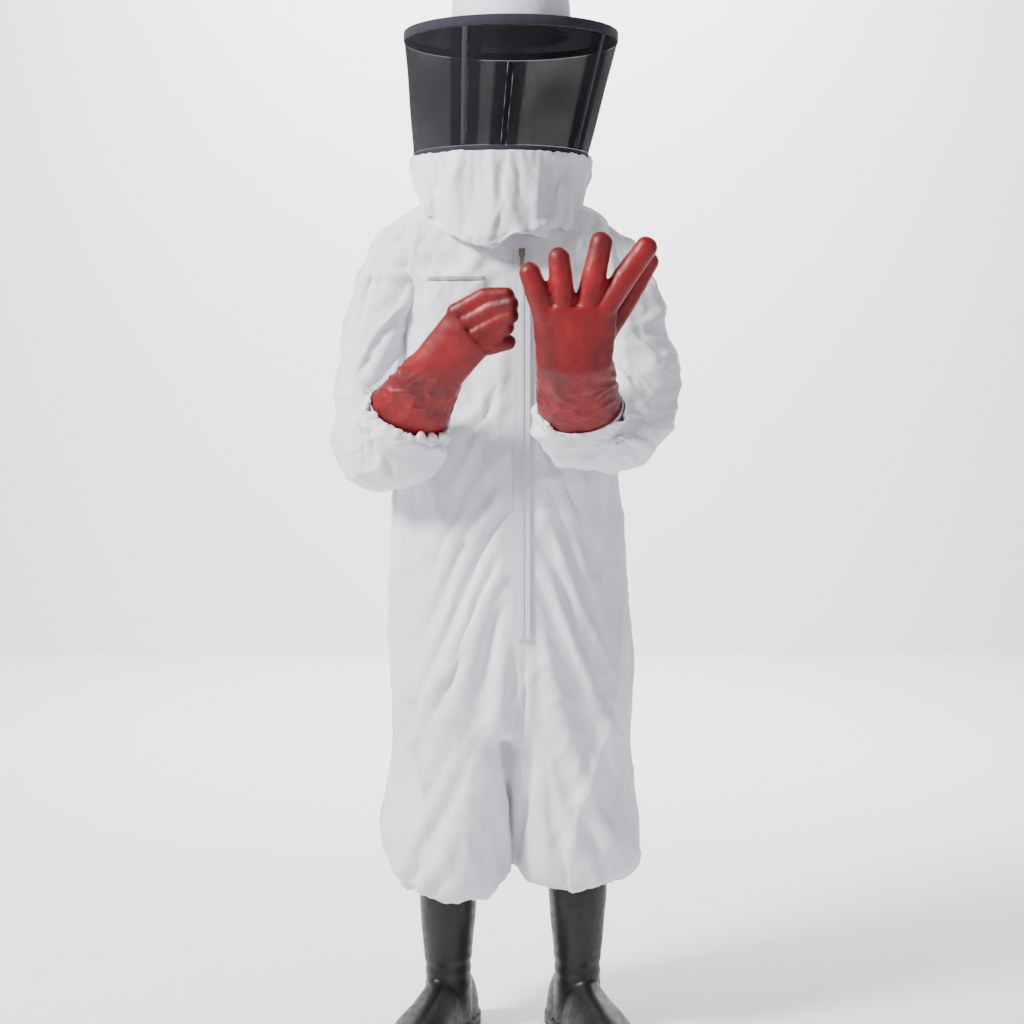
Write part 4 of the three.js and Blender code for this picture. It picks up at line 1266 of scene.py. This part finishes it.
def bar_between(ankle, sign, start, stop):
    first, last = half_width(start), half_width(stop)
    if min(first, last) < 6:
        return None
    rings = []
    for z, tuck in ((0.0, 0.8), (0.8, 0.0), (9.4, 0.0)):
        rings.append([
            boot_place(ankle, sign, -first - 2 + tuck, -start - tuck, z),
            boot_place(ankle, sign, first + 2 - tuck, -start - tuck, z),
            boot_place(ankle, sign, last + 2 - tuck, -stop + tuck, z),
            boot_place(ankle, sign, -last - 2 + tuck, -stop + tuck, z),
        ])
    bar = closed_tube("bar", rings, BLACK)
    for polygon in bar.data.polygons:
        polygon.use_smooth = False
    return bar


make_boot("right", ANKLE_RIGHT, -1)
make_boot("left", ANKLE_LEFT, 1)


# ---------------------------------------------------------------- elastic bands
BAND_POINTS = 190
GATHERS = 38


def gathered_band(name, rings, body_name, node):
    """A ring of gathered cloth over elastic: each ring is a middle, two directions and two half-sizes."""
    points = []
    for middle, across, up, wide, deep, ruffle in rings:
        ring = []
        for i in range(BAND_POINTS):
            angle = 2 * math.pi * i / BAND_POINTS
            rise = ruffle * (math.sin(GATHERS * angle) + 0.4 * math.sin(17 * angle + 1.0))
            ring.append(
                middle + across * (math.cos(angle) * (wide + rise) * MM)
                + up * (math.sin(angle) * (deep + rise) * MM))
        points.append(ring)
    piece = tube_piece(name, points, ELASTIC)
    close_section(piece, BAND_POINTS)
    finished(piece, body_name, "elastic", node)


def cuff_band(side, cuff):
    middle, along, across, up = cuff_frame(cuff)
    rings = []
    for back, out, ruffle in (
            (0, 0.7, 0.1), (0, 2.4, 0.5), (4, 3.0, 0.7), (10, 2.4, 0.6), (16, 3.0, 0.7), (20, 2.4, 0.5),
            (20, 0.7, 0.1)):
        rings.append((middle - along * (back * MM), across, up, CUFF_WIDE + out, CUFF_DEEP + out, ruffle))
    gathered_band(f"cuff_gather_{side}", rings, "coverall", f"cuff_elastic_{side}")


def hem_band(side, ankle, sign, hem):
    turn = sign * FOOT_TURN
    across = Vector((math.cos(turn), math.sin(turn), 0))
    up = Vector((-math.sin(turn), math.cos(turn), 0))
    rings = []
    for z, out, ruffle in (
            (0, 0.8, 0.1), (0, 3.2, 0.5), (3, 4.0, 0.6), (7, 3.4, 0.6), (11, 4.0, 0.6), (14, 3.2, 0.5),
            (14, 0.8, 0.1)):
        rings.append((place(ankle[0], ankle[1], hem + z), across, up, 50 + out, 54 + out, ruffle))
    gathered_band(f"hem_gather_{side}", rings, "coverall", f"hem_elastic_{side}")


cuff_band("right", CUFF_RIGHT)
cuff_band("left", CUFF_LEFT)
hem_band("right", ANKLE_RIGHT, -1, RIGHT_HEM_Z)
hem_band("left", ANKLE_LEFT, 1, LEFT_HEM_Z)


# ---------------------------------------------------------------- pocket and collar
def patch_on(name, x1, x2, z1, z2, columns, rows, lift, material, thickness):
    """A patch laid over the settled front, as a tailor lays a pocket on it."""
    tree = surface_tree(coverall_front)
    points = []
    for row in range(rows + 1):
        for i in range(columns + 1):
            start = place(x1 + (x2 - x1) * i / columns, -400, z1 + (z2 - z1) * row / rows)
            hit, _, _, _ = tree.ray_cast(start, Vector((0, 1, 0)))
            puff = math.sin(math.pi * i / columns) * math.sin(math.pi * row / rows) * 1.5
            points.append(hit + Vector((0, -(lift + puff) * MM, 0)))
    piece = new_piece(name, points, grid_faces(columns, rows, False), material)
    modify(piece, "SMOOTH", factor=0.5, iterations=3)
    modify(piece, "SOLIDIFY", thickness=thickness * MM, offset=1.0)
    keep_rest(piece)
    return piece


# The pocket takes the darker copy of the cotton: painted shadow of the hands on the chest.
pocket = patch_on("chest_pocket_cloth", -125, -31, 1177, 1293, 40, 46, 0.5, COTTON_SHADED, 1.0)
declare_cloth(pocket, "coverall", "cotton_white", ["chest_pocket"])
pocket_zip = patch_on("chest_pocket_strip", -125, -31, 1294.5, 1301.5, 40, 4, 0.4, POCKET_TAPE, 1.0)
finished(pocket_zip, "coverall", "zip_tape", "chest_pocket_zip")
collar_low, collar_high = height_of("collar_stand")
# The collar takes the darker copy of the cotton: painted shade under the hood skirt.
collar = revolve(
    "collar_cloth", rounded(97.6, collar_low, 99.9, collar_high, 0.6), COTTON_SHADED, 130, x=0,
    wave=0.15, waves=30)
finished(collar, "coverall", "cotton_white", "collar_stand")

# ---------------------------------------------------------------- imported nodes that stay
KEPT = {
    "neck_zip_tape": TAPE, "hood_zip_tape": TAPE, "front_zip_tape_right": TAPE,
    "front_zip_tape_left": TAPE, "neck_zip_slider_right": METAL, "neck_zip_slider_left": METAL,
    "front_zip_slider": METAL, "front_zip_pull": METAL, "glove_right_lining": FLOCK,
    "glove_left_lining": FLOCK, "boot_right_insole": FELT, "boot_left_insole": FELT,
}
for name, material in KEPT.items():
    node = bpy.data.objects[name]
    for kept_slot in node.material_slots:
        kept_slot.material = material

# ---------------------------------------------------------------- floor, light and camera
bpy.ops.object.select_all(action="DESELECT")
bpy.ops.mesh.primitive_plane_add(size=14, location=(0, 0, 0))
floor = bpy.context.object
floor.name = "floor"
floor_material, floor_shader, floor_where = new_material("floor_pale", roughness=0.9)
floor_tone = floor_where.noise(0.8, 2.0).mix(colour(0.90, 0.90, 0.92), colour(0.93, 0.93, 0.95))
link(floor_tone, floor_shader, "Base Color")
floor.data.materials.append(floor_material)


def soft_light(name, spot, aim, size, power, tone):
    data = bpy.data.lights.new(name, "AREA")
    data.shape = "RECTANGLE"
    data.size = size
    data.size_y = size
    data.energy = power
    data.color = tone
    lamp = bpy.data.objects.new(name, data)
    bpy.context.scene.collection.objects.link(lamp)
    lamp.location = place(*spot)
    direction = place(*aim) - lamp.location
    lamp.rotation_euler = direction.to_track_quat("-Z", "Y").to_euler()


soft_light("key", (-2300, -1500, 3000), (0, 0, 950), 0.7, 270, (1.0, 0.985, 0.97))
soft_light("fill", (2300, -2200, 1300), (0, 0, 900), 2.4, 22, (0.95, 0.96, 1.0))
soft_light("rim", (1200, 2400, 2600), (0, 0, 1200), 2.0, 40, (1.0, 1.0, 1.0))
world = bpy.data.worlds.new("studio")
bpy.context.scene.world = world
world.use_nodes = True
world.node_tree.nodes["Background"].inputs["Color"].default_value = (0.96, 0.97, 1.0, 1.0)
world.node_tree.nodes["Background"].inputs["Strength"].default_value = 0.36

# a pale wall well behind the outfit, with its own light
bpy.ops.mesh.primitive_plane_add(size=16, location=(0, 4.5, 4), rotation=(math.pi / 2, 0, 0))
wall = bpy.context.object
wall.name = "backdrop"
wall.data.materials.append(floor_material)
soft_light("wall", (0, 2600, 3400), (0, 4500, 1200), 3.0, 330, (1.0, 1.0, 1.0))

camera_data = bpy.data.cameras.new("camera")
camera = bpy.data.objects.new("camera", camera_data)
bpy.context.scene.collection.objects.link(camera)
camera.location = place(13.6, -3200, 1149)
aim = place(13.6, 0, 908) - camera.location
camera.rotation_euler = aim.to_track_quat("-Z", "Y").to_euler()
camera_data.sensor_width = 36
camera_data.angle = 2 * math.atan(0.8704 / 3.2)
bpy.context.scene.camera = camera
